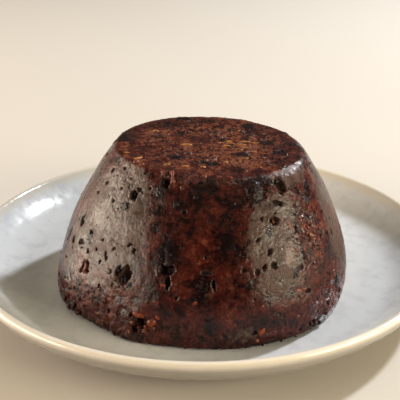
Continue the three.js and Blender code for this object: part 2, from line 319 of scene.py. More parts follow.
def keep(tree, geometry, name, value, kind="FLOAT"):
    """Stores a named attribute on points."""
    return make(tree, "GeometryNodeStoreNamedAttribute",
                {"Geometry": geometry, "Name": name, "Value": value}, data_type=kind, domain="POINT")


def push(tree, geometry, direction, distance):
    """Moves points this far along a direction."""
    offset = vectors(tree, "SCALE", direction, distance)
    return make(tree, "GeometryNodeSetPosition", {"Geometry": geometry, "Offset": offset})


def triangles(piece):
    piece.data.calc_loop_triangles()
    return len(piece.data.loop_triangles)


print("tree helpers ready")

# %% [markdown]
# ## The plate's section
#
# A plate is thrown on a wheel, so one section turned about the axis gives all of it. The section
# runs from the middle of the underside, round the foot ring, out under the wall, over the rolled lip
# and down the inside to the flat of the well. A traced outline of many points could give it too.
# Straight runs and Bezier bends need only a few named sizes, and the middle two points of each bend
# are its handles.

# %% The plate's section
PLATE_RADIUS = plate_high.x / MM
PLATE_HEIGHT = 25.5
WELL_HEIGHT = 8.5
WELL_FLAT_RADIUS = 94.0
UNDERSIDE = 2.4
FOOT_RING = 71.0  # radius of the ring's middle
FOOT_FLAT = 1.6  # half the width of the ring's flat
FOOT_STEP = 4.4  # from the ring's middle to where the underside is flat again
WALL_START = 83.0
LIP_INSIDE = PLATE_RADIUS - 4.2
LIP_START = PLATE_HEIGHT - 3
LIP_END = PLATE_HEIGHT - 1.2


def bend(controls, pieces):
    """Points along a Bezier bend from its four control points, without the first."""
    a, b, c, d = (np.array(point, float) for point in controls)
    t = np.linspace(0, 1, pieces + 1)[1:, None]
    return a * (1 - t) ** 3 + 3 * b * t * (1 - t) ** 2 + 3 * c * t**2 * (1 - t) + d * t**3


def foot_step(start, end, from_height, to_height):
    """The rounded step between the underside and the foot ring's flat."""
    middle = (start + end) / 2
    return bend([(start, from_height), (middle, from_height), (middle, to_height), (end, to_height)], 8)


def straight(start, end, pieces):
    t = np.linspace(0, 1, pieces + 1)[1:, None]
    return np.array(start) * (1 - t) + np.array(end) * t


runs = {
    "underside": [(0, UNDERSIDE)],
    "underside flat": straight((0, UNDERSIDE), (FOOT_RING - FOOT_STEP, UNDERSIDE), 8),
    "foot in": foot_step(FOOT_RING - FOOT_STEP, FOOT_RING - FOOT_FLAT, UNDERSIDE, 0),
    "foot flat": straight((FOOT_RING - FOOT_FLAT, 0), (FOOT_RING + FOOT_FLAT, 0), 2),
    "foot out": foot_step(FOOT_RING + FOOT_FLAT, FOOT_RING + FOOT_STEP, 0, UNDERSIDE),
    "under the wall": straight((FOOT_RING + FOOT_STEP, UNDERSIDE), (WALL_START, UNDERSIDE + 0.3), 3),
    "wall": bend([(WALL_START, UNDERSIDE + 0.3), (102, UNDERSIDE + 1.6),
                  (PLATE_RADIUS - 2.4, WELL_HEIGHT + 4), (PLATE_RADIUS, LIP_START)], 30),
    "lip": bend([(PLATE_RADIUS, LIP_START), (PLATE_RADIUS, PLATE_HEIGHT + 0.6),
                 (LIP_INSIDE + 1.2, PLATE_HEIGHT + 0.4), (LIP_INSIDE, LIP_END)], 24),
    "inside": bend([(LIP_INSIDE, LIP_END), (LIP_INSIDE - 5.6, WELL_HEIGHT + 8),
                    (WELL_FLAT_RADIUS + 12, WELL_HEIGHT), (WELL_FLAT_RADIUS, WELL_HEIGHT)], 36),
    "well": straight((WELL_FLAT_RADIUS, WELL_HEIGHT), (0, WELL_HEIGHT), 24),
}
section = np.vstack(list(runs.values()))
ends = dict(zip(runs, (np.cumsum([len(run) for run in runs.values()]) - 1) / (len(section) - 1)))
print("section of", len(section), "points; the lip is from share",
      round(ends["wall"], 3), "to", round(ends["lip"], 3))

# %% [markdown]
# ## Turning the plate
#
# Spin or Screw would turn the section too. Here a Geometry Nodes tree does it, because it can also
# keep how far along the section each point lies, which the glaze reads later to find the lip. A grid
# has one column for each point of the section and one row for each step round the axis; each of its
# points takes the place of its section point, turned. A slow noise then moves the glaze by less than a
# tenth of a millimetre, as on a hand-made plate, so that highlights on the wall break up.

# %% A tree that turns a section
WELD = 0.02 * MM  # points closer than this become one


def turning_tree():
    tree, given = new_tree("Turn a section", {
        "Section": ("Object", None), "Steps": ("Int", 256), "Waviness": ("Float", 0.0001),
        "Wave Length": ("Float", 0.02)})
    outline = make(tree, "GeometryNodeObjectInfo", {"Object": given["Section"]}, "Geometry")
    beads = make(tree, "GeometryNodeCurveToPoints", {"Curve": outline}, mode="EVALUATED")
    count = make(tree, "GeometryNodeAttributeDomainSize", (beads,), component="POINTCLOUD")
    rows = plus(tree, given["Steps"], 1)
    grid = make(tree, "GeometryNodeMeshGrid",
                {"Size X": 1.0, "Size Y": 1.0, "Vertices X": rows, "Vertices Y": count})
    here = make(tree, "GeometryNodeInputPosition")
    flat, up = split(tree, here, "XY")
    turn = times(tree, plus(tree, flat, 0.5), 2 * math.pi)
    share = plus(tree, up, 0.5)
    column = maths(tree, "ROUND", times(tree, share, minus(tree, count, 1)))
    bead = make(tree, "GeometryNodeSampleIndex",
                {"Geometry": beads, "Value": here, "Index": column}, data_type=VECTOR)
    radius, height = split(tree, bead, "XZ")
    place = make(tree, "ShaderNodeCombineXYZ", (
        times(tree, radius, maths(tree, "COSINE", turn)),
        times(tree, radius, maths(tree, "SINE", turn)), height))
    marked = keep(tree, grid, "along", share)
    turned = make(tree, "GeometryNodeSetPosition", {"Geometry": marked, "Position": place})
    closed = make(tree, "GeometryNodeMergeByDistance", {"Geometry": turned, "Distance": WELD})
    wave = make(tree, "ShaderNodeTexNoise", {
        "Scale": maths(tree, "DIVIDE", 1.0, given["Wave Length"]), "Detail": 1.0})
    clear_of_foot = spread(tree, read(tree, "along"), ends["under the wall"], ends["wall"])
    lift = times(tree, minus(tree, wave, 0.5), times(tree, given["Waviness"], clear_of_foot))
    wavy = push(tree, closed, make(tree, "GeometryNodeInputNormal"), lift)
    end_tree(tree, given, make(tree, "GeometryNodeSetShadeSmooth", {"Geometry": wavy}))
    return tree


section_curve = bpy.data.curves.new("plate_section", "CURVE")
section_curve.dimensions = "3D"
spline = section_curve.splines.new("POLY")
spline.points.add(len(section) - 1)
for point, (radius, height) in zip(spline.points, section * MM):
    point.co = (radius, 0, height, 1)
section_object = bpy.data.objects.new("plate_section", section_curve)
SCENE.collection.objects.link(section_object)
TURN = turning_tree()
print("tree of", len(TURN.nodes), "nodes")

# %% [markdown]
# ## The glaze
#
# The plate wears a glossy pale grey glaze. It is mottled where it pooled, cream over the lip, and thin
# enough on the lip's outer edge for the pale tan clay to show. The outer wall is greige. An image
# could be painted for it, but it would need to be unwrapped and would show its pixels up close. Here
# one value, the share along the section, sorts the bands; noise shifts it a little so that no edge is
# ruled.

# %% The glaze
GLAZE_GREY = colour(0.59, 0.60, 0.61)
GLAZE_POOL = colour(0.52, 0.53, 0.55)
GLAZE_CREAM = colour(0.57, 0.53, 0.46)
GLAZE_TAN = colour(0.70, 0.64, 0.56)
GLAZE_GREIGE = colour(0.32, 0.30, 0.27)
GLAZE_SPECK = colour(0.36, 0.31, 0.25)
BAND_WANDER = 0.012  # how far noise shifts the bands, as a share of the section


def steps(tree, value, stops):
    """A colour ramp: stops are pairs of a place from 0 to 1 and a colour."""
    socket = make(tree, "ShaderNodeValToRGB", (value,))
    elements = socket.node.color_ramp.elements
    while len(elements) > 1:
        elements.remove(elements[-1])
    elements[0].position, elements[0].color = stops[0]
    for place, shade in stops[1:]:
        elements.new(place).color = shade
    return socket


def attribute(tree, name):
    """A value that the mesh's points carry, for a finish to read."""
    return make(tree, "ShaderNodeAttribute", output="Fac", attribute_name=name)


def glaze_material():
    material, tree, shader = new_material("stoneware_glaze", GLAZE_GREY, 0.16, Specular_IOR_Level=0.55)
    place = make(tree, "ShaderNodeTexCoord", output="Object")
    along = attribute(tree, "along")
    wander = times(tree, minus(tree, grain(tree, place, 12 * MM), 0.5), BAND_WANDER)
    share = plus(tree, along, wander)
    lip = ends["lip"] - ends["wall"]  # the lip's own share of the section
    bands = steps(tree, share, [
        (0.0, GLAZE_GREIGE),
        (ends["wall"] - 0.01, GLAZE_GREIGE),
        (ends["wall"] + 0.20 * lip, GLAZE_TAN),
        (ends["wall"] + 0.34 * lip, GLAZE_TAN),
        (ends["wall"] + 0.55 * lip, GLAZE_CREAM),
        (ends["lip"] + 0.01, GLAZE_CREAM),
        (ends["lip"] + 0.05, GLAZE_GREY)])
    pooled = spread(tree, grain(tree, place, 9 * MM, 4.0, 0.6), 0.45, 0.68)
    inside = spread(tree, along, ends["lip"], ends["lip"] + 0.04)
    mottled = blend(tree, times(tree, pooled, inside), bands, GLAZE_POOL)
    specks = spread(tree, grain(tree, place, 1.3 * MM, 2.0), 0.70, 0.78, 0.0, 0.35)
    base = blend(tree, specks, mottled, GLAZE_SPECK)
    dull = spread(tree, grain(tree, place, 5 * MM, 3.0), 0.3, 0.7, 0.12, 0.24)
    dress(tree, shader, base, dull, grain(tree, place, 6 * MM, 2.0), 0.35, 0.2 * MM)
    return material


GLAZE = glaze_material()
print("glaze has", len(GLAZE.node_tree.nodes), "nodes")

# %% [markdown]
# ## The finished plate
#
# Now the section is turned. With few steps the rim would show flats, and with very many the plate
# would be heavier than the pudding, so each step is a little under 3 mm long at the rim. The section
# was only a guide, so it is deleted.

# %% Turn the plate
PLATE_STEPS = 288

plate = new_mesh_object("stoneware_plate", [(0, 0, 0)], [])
run_tree(plate, TURN, {
    "Section": section_object, "Steps": PLATE_STEPS, "Waviness": 0.25 * MM,
    "Wave Length": 16 * MM, "Material": GLAZE})
bpy.data.objects.remove(section_object)
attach(plate, "root")
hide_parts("plate")
print("plate:", triangles(plate), "triangles")

# %% [markdown]
# ## The pudding's form
#
# The side follows the basin: nearly upright low down, then curving in to the flat top. It has sunk
# and leans a little, so its middle shifts with height, its rings are slightly oval, and three broad
# swells push the foot and the top out. All of that is one formula of azimuth and height. It could be
# turned and then bent by hand instead, but a formula also says where a pit or a raisin on it lies.

# %% The form as a formula
PUDDING_HEIGHT = 71.5
FOOT_HEIGHT = pudding_low.z / MM
WIDEST_RADIUS = 71.5
WIDEST_HEIGHT = 13.0
TOP_RADIUS = 45.5
FOOT_RADIUS = 69.5
BELLY = 1.6  # the power of the curve from the widest place up; more keeps the side upright for longer
FOOT_CENTRE = np.array([-0.2, -17.0])
TOP_CENTRE = np.array([3.1, -9.1])
FOOT_MIDDLE = np.array([*FOOT_CENTRE, FOOT_HEIGHT])
TOP_MIDDLE = np.array([*TOP_CENTRE, FOOT_HEIGHT + PUDDING_HEIGHT])
OVAL_AZIMUTH = -38.0  # degrees, where the oval is longest
OVAL_AT_FOOT = 3.3
OVAL_AT_TOP = 2.6
SWELLS = [  # azimuth, height, how far out, half-width in degrees, half-height
    (-157, 0, 5.5, 24, 20),
    (-118, 0, 3.2, 13, 9),
    (-37, PUDDING_HEIGHT, 1.8, 24, 20),
]


def profile(height):
    """The side's radius at a height, before it leans or swells."""
    low = np.clip((WIDEST_HEIGHT - height) / WIDEST_HEIGHT, 0, 1)
    high = np.clip((height - WIDEST_HEIGHT) / (PUDDING_HEIGHT - WIDEST_HEIGHT), 0, 1)
    tucked_in = (WIDEST_RADIUS - FOOT_RADIUS) * low**2
    drawn_in = (WIDEST_RADIUS - TOP_RADIUS) * high**BELLY
    return WIDEST_RADIUS - tucked_in - drawn_in


def turn_from(azimuth, centre):
    """How far azimuths lie from a centre, from -180 to 180 degrees."""
    return (azimuth - centre + 540) % 360 - 180


def side_point(azimuth, height, inset=0.0):
    """Points of the side at azimuths in degrees and heights above the foot, both arrays."""
    share = height / PUDDING_HEIGHT
    oval = OVAL_AT_FOOT + (OVAL_AT_TOP - OVAL_AT_FOOT) * share
    radius = profile(height) - inset + oval * np.cos(2 * np.radians(azimuth - OVAL_AZIMUTH))
    for centre, level, out, width, rise in SWELLS:
        aside = turn_from(azimuth, centre) / width
        radius = radius + out * np.exp(-(aside**2) - ((height - level) / rise) ** 2)
    middle_x, middle_y = (FOOT_CENTRE[i] + (TOP_CENTRE[i] - FOOT_CENTRE[i]) * share for i in (0, 1))
    turn = np.radians(azimuth)
    x, y = middle_x + radius * np.cos(turn), middle_y + radius * np.sin(turn)
    return np.stack([x, y, FOOT_HEIGHT + height], axis=-1)


widest_ring = side_point(np.arange(360.0), np.full(360, WIDEST_HEIGHT))
print("widest across X:", round(float(np.ptp(widest_ring[:, 0])), 1), "mm")

# %% [markdown]
# ## A skin of even triangles
#
# Small pits need small triangles, and a mesh with the same number of points in every ring wastes
# them near the top. So each ring gets as many points as its own length asks for, and two neighbours
# are stitched by walking round both at once. Each ring starts at a random turn and its points are
# nudged along the surface, because a regular lattice would show as stripes in the sheen. Remeshing a
# plain form would be easier, but its triangles would not follow the form so closely. The rim is worn
# in places, so there it is pulled in and down a little.

# %% Rings and stitches
EDGE = 0.68  # mm, length of a triangle's side on the skin
ROW = EDGE * 0.87  # mm between rings
RIM_ROUND = 1.1  # radius of the rounding
FOOT_ROUND = 1.6
ROUND_STEPS = 4  # rings on each of the two roundings
SLOPE_SAMPLES = 2000  # heights at which the length of the slope is measured
UNDERSIDE_RINGS = [  # share of the way out, and length of a triangle's side there
    (0.12, 8.0), (0.3, 8.0), (0.5, 7.0), (0.68, 5.0), (0.8, 3.6), (0.89, 2.4), (0.95, 1.5), (0.98, 0.9)]
AROUND_NUDGE = 0.22  # of the step between neighbours
UP_NUDGE = 0.2  # of a row
WORN_RIM = [  # azimuth, half-width in degrees, how far in and down, how far the wear reaches
    (-42, 24, 1.1, 4.0), (0, 30, 0.9, 4.0), (100, 40, 1.2, 5.0), (-100, 12, 0.7, 3.5)]
WEAR_EACH_WAY = 0.7  # of that amount goes in and as much down
FLAT_FROM = PUDDING_HEIGHT - 0.2  # points above this lie on the flat top
jitter = np.random.default_rng(25)


def ring_azimuths(radius, edge):
    count = max(6, round(2 * math.pi * radius / edge))
    step = 360 / count
    nudge = jitter.uniform(-AROUND_NUDGE, AROUND_NUDGE, count)
    return (np.arange(count) + jitter.uniform(0, 1) + nudge) * step


def side_ring(height, inset=0.0):
    azimuth = ring_azimuths(profile(height), EDGE)
    room_up = UP_NUDGE * ROW if FOOT_ROUND < height < PUDDING_HEIGHT - RIM_ROUND else 0.0
    return side_point(azimuth, height + jitter.uniform(-room_up, room_up, len(azimuth)), inset)


def flat_ring(height, inset, share, edge):
    """A ring on the flat top or underside, at a share of the way out to its edge."""
    azimuth = ring_azimuths(profile(height) * share, edge)
    middle = FOOT_MIDDLE if height == 0 else TOP_MIDDLE
    return middle + (side_point(azimuth, np.full(len(azimuth), float(height)), inset) - middle) * share


def pudding_rings():
    """Every ring of the skin, from the underside up. Rows keep their distance along the slope."""
    turns = [math.radians(angle) for angle in np.linspace(0, 90, ROUND_STEPS + 1)]
    rings = [flat_ring(0, FOOT_ROUND, share, edge) for share, edge in UNDERSIDE_RINGS]
    for turn in turns[:-1]:
        rings.append(side_ring(FOOT_ROUND * (1 - math.cos(turn)), FOOT_ROUND * (1 - math.sin(turn))))
    heights = np.linspace(FOOT_ROUND, PUDDING_HEIGHT - RIM_ROUND, SLOPE_SAMPLES)
    slope = np.hypot(np.gradient(profile(heights)), np.gradient(heights))
    length = np.cumsum(slope)
    rows = round(float(length[-1]) / ROW)
    for height in np.interp(np.linspace(length[0], length[-1], rows), length, heights):
        rings.append(side_ring(float(height)))
    for turn in turns[1:]:
        drop, inset = RIM_ROUND * (1 - math.sin(turn)), RIM_ROUND * (1 - math.cos(turn))
        rings.append(side_ring(PUDDING_HEIGHT - drop, inset))
    rows = round((TOP_RADIUS - RIM_ROUND) / ROW)
    rings.extend(flat_ring(PUDDING_HEIGHT, RIM_ROUND, i / rows, EDGE) for i in range(rows - 1, 0, -1))
    return rings


def stitch(lower, upper, lower_start, upper_start, faces):
    """Triangles between two rings, walking both by their share of a turn."""
    i = j = 0
    while i < lower or j < upper:
        a, b = lower_start + i % lower, upper_start + j % upper
        if (i + 1) / lower <= (j + 1) / upper:
            faces.append((a, lower_start + (i + 1) % lower, b))
            i += 1
        else:
            faces.append((a, upper_start + (j + 1) % upper, b))
            j += 1


def in_turn(ring):
    """A ring's points sorted so that they start at the smallest azimuth about its middle."""
    away = ring - ring.mean(axis=0)
    return ring[np.argsort(np.arctan2(away[:, 1], away[:, 0]))]


def skin_mesh():
    rings = [in_turn(ring) for ring in pudding_rings()]
    starts = np.cumsum([1] + [len(ring) for ring in rings])
    faces = [(0, 1 + (i + 1) % len(rings[0]), 1 + i) for i in range(len(rings[0]))]
    for k in range(1, len(rings)):
        stitch(len(rings[k - 1]), len(rings[k]), int(starts[k - 1]), int(starts[k]), faces)
    last, count = int(starts[-2]), len(rings[-1])
    faces += [(last + i, last + (i + 1) % count, int(starts[-1])) for i in range(count)]
    return np.vstack([FOOT_MIDDLE, *rings, TOP_MIDDLE]), faces


def azimuth_and_up(points):
    """Where points in millimetres lie round the pudding, in degrees, and how far up and over the rim."""
    height = points[:, 2] - FOOT_HEIGHT
    share = np.clip(height / PUDDING_HEIGHT, 0, 1)[:, None]
    away = points[:, :2] - (FOOT_CENTRE * (1 - share) + TOP_CENTRE * share)
    azimuth = np.degrees(np.arctan2(away[:, 1], away[:, 0]))
    rim = side_point(azimuth, np.full(len(azimuth), PUDDING_HEIGHT))[:, :2] - TOP_CENTRE
    in_from_rim = np.linalg.norm(rim, axis=1) - np.linalg.norm(away, axis=1)
    return azimuth, height + np.where(height > FLAT_FROM, np.maximum(in_from_rim, 0), 0)


def worn_rim(points):
    """Takes the edge off the rim where it is worn, by pulling it in and down."""
    azimuth, up = azimuth_and_up(points)
    pull = np.zeros(len(points))
    for centre, width, amount, reach in WORN_RIM:
        aside = turn_from(azimuth, centre) / width
        near = np.clip(1 - np.abs(up - PUDDING_HEIGHT) / reach, 0, 1)
        pull = np.maximum(pull, amount * np.exp(-(aside**2)) * near**2)
    turn = np.radians(azimuth)
    out_and_up = np.stack([np.cos(turn), np.sin(turn), np.ones(len(points))], axis=1)
    return points - out_and_up * pull[:, None] * WEAR_EACH_WAY


form_points, form_faces = skin_mesh()
azimuths, ups = azimuth_and_up(form_points)
form_points = worn_rim(form_points)
pudding = new_mesh_object("pudding_skin", form_points * MM, form_faces)
print("skin:", len(form_points), "points,", len(form_faces), "triangles")

# %% [markdown]
# ## The crumb
#
# Christmas pudding is nearly black: suet crumb stained with treacle and dried fruit. Its colour drifts
# between black, deep brown and red-brown. Where it lay against the pottery it has a thin leathery skin
# with an even sheen; where the skin is torn the moist crumb under it glitters instead. The finish
# reads what each point of the mesh knows, and noise gives every zone a torn edge. A clear coat would
# lie smooth over the grain, so the one glossy surface carries both the grain and the sheen.

# %% Colours and small helpers of the crumb
CRUMB_BLACK = colour(0.0055, 0.0021, 0.0025)
CRUMB_BROWN = colour(0.022, 0.0045, 0.0034)
CRUMB_RED = colour(0.060, 0.0108, 0.0070)
CRUMB_TAWNY = colour(0.150, 0.050, 0.024)
# Painted shade inside pits and pinpricks
PAINTED_HOLE_SHADE = colour(0.010, 0.0010, 0.0008)
# The skin's own paler film, which also paints part of the sheen where the skin is polished
SKIN_FILM_AND_PAINTED_SHEEN = colour(0.060, 0.038, 0.027)
# Orange of moist crumb, with a painted glow of light shining through it
MOIST_CRUMB_AND_PAINTED_GLOW = colour(0.15, 0.040, 0.015)


def weighted(tree, *pairs):
    """A sum of values, each given with its weight."""
    total = 0.0
    for value, weight in pairs:
        total = maths(tree, "MULTIPLY_ADD", value, weight, total)
    return total


def torn(tree, name, noise):
    """A soft patch of the mesh turned into a zone with an uneven edge."""
    return spread(tree, weighted(tree, (attribute(tree, name), 1.0), (noise, 1.1)), 0.95, 1.13)


def cells(tree, place, size, output):
    """One value or colour for each cell, about this size in metres."""
    return make(tree, "ShaderNodeTexVoronoi", {"Vector": place, "Scale": 1 / size}, output)


print("crumb colours and helpers ready")

# %% The crumb's finish
def lot(tree, place, size):
    """One random value for each cell."""
    return make(tree, "ShaderNodeSeparateColor", (cells(tree, place, size, "Color"),), "Red")


def ground_colour(tree, place, grains):
    """Black, brown and red-brown, sorted by noise, by crumbs and clumps, and by the mesh's own patches of
    stain and painted light.
    """
    clump, crumb = lot(tree, place, 5.0 * MM), lot(tree, place, 1.4 * MM)
    speckle = weighted(tree, (grains["fine"], 0.55), (crumb, 0.26))
    speckle = times(tree, minus(tree, speckle, 0.40), attribute(tree, "speckled"))
    tone = weighted(tree, (grains["broad"], 0.40), (grains["middle"], 0.28), (grains["fine"], 0.18),
                     (clump, 0.08), (crumb, 0.06), (speckle, 1.0), (attribute(tree, "tone"), 1.0))
    return steps(tree, tone, [
        (0.41, CRUMB_BLACK), (0.465, CRUMB_BROWN), (0.57, CRUMB_RED), (0.66, CRUMB_TAWNY)])


def spots(tree, place, size, widest, soft):
    """Round spots, too small to model. More than half of the cells have one, each of its own width."""
    reach = spread(tree, lot(tree, place, size), 0.35, 1.0, -0.05, widest, smooth=False)
    return spread(tree, minus(tree, reach, cells(tree, place, size, "Distance")), 0.0, soft)


def crumb_material():
    material, tree, shader = new_material("pudding_crumb", CRUMB_BROWN, 0.4, Specular_IOR_Level=0.24)
    place = make(tree, "ShaderNodeTexCoord", output="Object")
    grains = {
        "broad": grain(tree, place, 12 * MM, 3.0, 0.6),
        "middle": grain(tree, place, 3.4 * MM, 4.0, 0.62),
        "fine": grain(tree, place, 1.15 * MM, 3.0, 0.65)}
    shift = vectors(tree, "SCALE", grain(tree, place, 2.4 * MM, 2.0, 0.5, "Color"), 1.2 * MM)
    bent = vectors(tree, "ADD", place, shift)

    # The zones, and the marks in them
    polished = torn(tree, "polish", grains["middle"])
    wet = torn(tree, "wet", grains["middle"])
    rough = torn(tree, "crumbly", grains["middle"])
    pit = spread(tree, weighted(tree, (attribute(tree, "pit"), 1.0), (grains["fine"], 0.25)), 0.14, 0.28)
    opening = maths(tree, "MAXIMUM", pit, spots(tree, bent, 2.0 * MM, 0.26, 0.08))
    hole = times(tree, opening, spread(tree, wet, 0.0, 1.0, 1.0, 0.55, smooth=False))
    pricked = times(tree, polished, spread(tree, grains["broad"], 0.42, 0.55))
    prick = times(tree, spots(tree, place, 0.85 * MM, 0.38, 0.12), pricked)
    bead = times(tree, spots(tree, place, 1.5 * MM, 0.45, 0.40), wet)
    glint = times(tree, spots(tree, place, 0.9 * MM, 0.42, 0.30), wet)

    # Colour: crumb, then film with painted sheen, juice, moist crumb with painted glow, painted shade in
    # holes
    base = ground_colour(tree, bent, grains)
    # Painted sheen: where the skin is polished its colour goes towards the paler film
    base = blend(tree, times(tree, polished, 0.6), base, SKIN_FILM_AND_PAINTED_SHEEN)
    base = blend(tree, times(tree, attribute(tree, "fruit_near"), 0.92), base, CRUMB_BLACK)
    # Painted glow: moist crumb turns orange in specks, as if lit through
    painted_glow = spread(tree, weighted(tree, (grains["fine"], 0.6), (grains["middle"], 0.4)), 0.50, 0.64, 0.0, 0.5)
    base = blend(tree, times(tree, painted_glow, wet), base, MOIST_CRUMB_AND_PAINTED_GLOW)
    # Painted shade: pits and pinpricks are darkened in colour
    painted_shade = maths(tree, "MAXIMUM", times(tree, hole, 0.85), times(tree, prick, 0.72))
    base = blend(tree, painted_shade, base, PAINTED_HOLE_SHADE)

    # Gloss: satin crumb, film with a wider sheen, rough crumb, wet crumb
    satin = spread(tree, grains["middle"], 0.3, 0.7, 0.17, 0.30)
    drift = weighted(tree, (grains["broad"], 0.5), (grains["middle"], 0.5))
    film = spread(tree, drift, 0.40, 0.60, 0.20, 0.46)
    gloss = blend(tree, polished, satin, film, "FLOAT")
    gloss = blend(tree, rough, gloss, 0.46, "FLOAT")
    gloss = blend(tree, wet, gloss, 0.17, "FLOAT")
    gloss = weighted(tree, (hole, 0.45), (prick, 0.20), (glint, -0.10), (gloss, 1.0))

    # Relief: grain where it is dry, beads where it is wet, holes and pricks
    calm = maths(tree, "MAXIMUM", wet, minus(tree, polished, pricked))
    dry = spread(tree, calm, 0.0, 1.0, 1.0, 0.35, smooth=False)
    height = weighted(tree, (times(tree, grains["fine"], dry), 0.55), (prick, -0.36),
                      (bead, 0.60), (glint, 0.55), (grains["middle"], 0.55), (hole, -0.45))
    strength = weighted(tree, (polished, 0.36), (wet, 0.50), (rough, 0.60))
    strength = maths(tree, "ADD", strength, 0.40, clamp=True)
    dress(tree, shader, base, gloss, height, strength, MM)
    return material


CRUMB = crumb_material()
print("crumb has", len(CRUMB.node_tree.nodes), "nodes")

# %% [markdown]
# ## Fruit and peel finishes
#
# A steamed raisin is almost black and wet, with a fine wrinkled skin that catches narrow lights. Peel
# and nuts are sticky, from brown through orange to tan, and stained dark by the crumb. Every bit
# carries a random `kind` from 0 to 1, and the peel's colour is looked up by it. A material for each
# colour would do too, but then the bits could not be one piece with one slot.

# %% The raisin's finish and the peel's finish
RAISIN_BLACK = colour(0.0050, 0.0026, 0.0028)
RAISIN_PLUM = colour(0.020, 0.0060, 0.0070)
PEEL_BROWN = colour(0.060, 0.014, 0.006)
PEEL_ORANGE = colour(0.165, 0.032, 0.0095)
PEEL_TAN = colour(0.36, 0.150, 0.045)


def raisin_material():
    material, tree, shader = new_material("raisin_skin", RAISIN_BLACK, 0.2, Specular_IOR_Level=0.2)
    place = make(tree, "ShaderNodeTexCoord", output="Object")
    drift = grain(tree, place, 2.6 * MM, 3.0)
    wrinkles = grain(tree, place, 0.9 * MM, 3.0, 0.55)
    base = blend(tree, spread(tree, drift, 0.42, 0.66), RAISIN_BLACK, RAISIN_PLUM)
    dull = spread(tree, drift, 0.3, 0.7, 0.08, 0.18)
    dress(tree, shader, base, dull, wrinkles, 1.0, 0.42 * MM)
    return material


def peel_material():
    material, tree, shader = new_material("candied_peel", PEEL_ORANGE, 0.35, Specular_IOR_Level=0.3)
    place = make(tree, "ShaderNodeTexCoord", output="Object")
    drift = grain(tree, place, 1.6 * MM, 3.0, 0.6)
    kinds = steps(tree, attribute(tree, "kind"), [
        (0.0, PEEL_BROWN), (0.30, PEEL_BROWN), (0.42, PEEL_ORANGE), (0.66, PEEL_ORANGE), (0.78, PEEL_TAN)])
    stained = times(tree, spread(tree, drift, 0.46, 0.66), 0.75)
    base = blend(tree, stained, kinds, CRUMB_BROWN)
    dull = spread(tree, drift, 0.3, 0.7, 0.25, 0.50)
    dress(tree, shader, base, dull, drift, 0.7, 0.2 * MM)
    return material


RAISIN, PEEL = raisin_material(), peel_material()
print("raisin has", len(RAISIN.node_tree.nodes), "nodes, peel has", len(PEEL.node_tree.nodes))

# %% [markdown]
# ## What each point of the skin knows
#
# Relief is pushed along the direction that the plain form faces, so each point keeps that direction
# as `outward`. `shows` is 0 under the pudding. Soft patches then say how polished, wet or crumbly the
# skin is, how it is stained, where light is painted into its tone, where it is speckled, and where
# pits, fruit and chips lie. `up` is the height above the foot, which counts on across the flat top
# once it has passed the rim. The zones could be painted by hand instead. As rows of numbers they stay
# sharp at any size of mesh and are easily moved.

# %% Zones of the skin
# A place: azimuth, up, half-width in degrees, half-height. A patch: a place, then its amount.
WHOLE_TOP = (0, 98, 400, 24)
EVERYWHERE = (0, 60, 400, 90)
TORN_RIGHT = (26, 52, 12, 14)  # three torn places at the back
TORN_BEHIND = (100, 44, 12, 16)
TORN_LEFT = (145, 50, 10, 14)
# Where the skin is polished, its film colour also paints part of the sheen.
POLISHED = [  # skin that took the basin's gloss
    (-141, 50, 25, 25, 1.0), (-160, 30, 12, 20, 0.75), (-128, 33, 9, 9, 0.8),
    (-64, 47, 10, 17, 1.0), (-56, 58, 8, 8, 1.0), (-60, 31, 11, 8, 0.8), (-129, 24, 5, 3.5, 1.0),
    (-42, 69, 16, 5, 1.0), (-22, 40, 9, 30, 0.9),
    (60, 42, 38, 26, 1.0), (140, 38, 30, 24, 1.0), (12, 30, 14, 20, 0.8), (100, 20, 16, 10, 0.8),
    (-74, 8, 9, 5, 0.7), (-91, 28, 8, 5, 0.48),
]
WET = [  # torn skin that syrup has soaked
    (-40, 47, 8, 15, 1.0), (-60, 66, 9, 4, 0.9), (-37, 56, 7, 7, 0.9), (-36, 15, 8, 8, 0.7),
    (-122, 29, 5, 5, 1.0), (-113, 11, 8, 6, 0.7), (-38, 23, 5, 7, 0.8), (*WHOLE_TOP, 0.52),
    (*TORN_RIGHT, 1.0), (*TORN_BEHIND, 0.9), (*TORN_LEFT, 0.8),
]
CRUMBLY = [  # where the mixture stayed rough
    (-100, 5, 60, 9, 0.9), (-140, 12, 18, 9, 0.9), (-42, 46, 9, 16, 0.9), (-106, 71, 16, 3, 1.0),
    (-36, 12, 12, 10, 0.7), (-78, 70, 16, 2, 0.6), (90, 5, 110, 8, 0.9), (*TORN_RIGHT, 0.9),
    (*TORN_BEHIND, 0.8), (*TORN_LEFT, 0.7), (-112, 71.5, 18, 1.4, 0.6), (*WHOLE_TOP, 0.60),
]
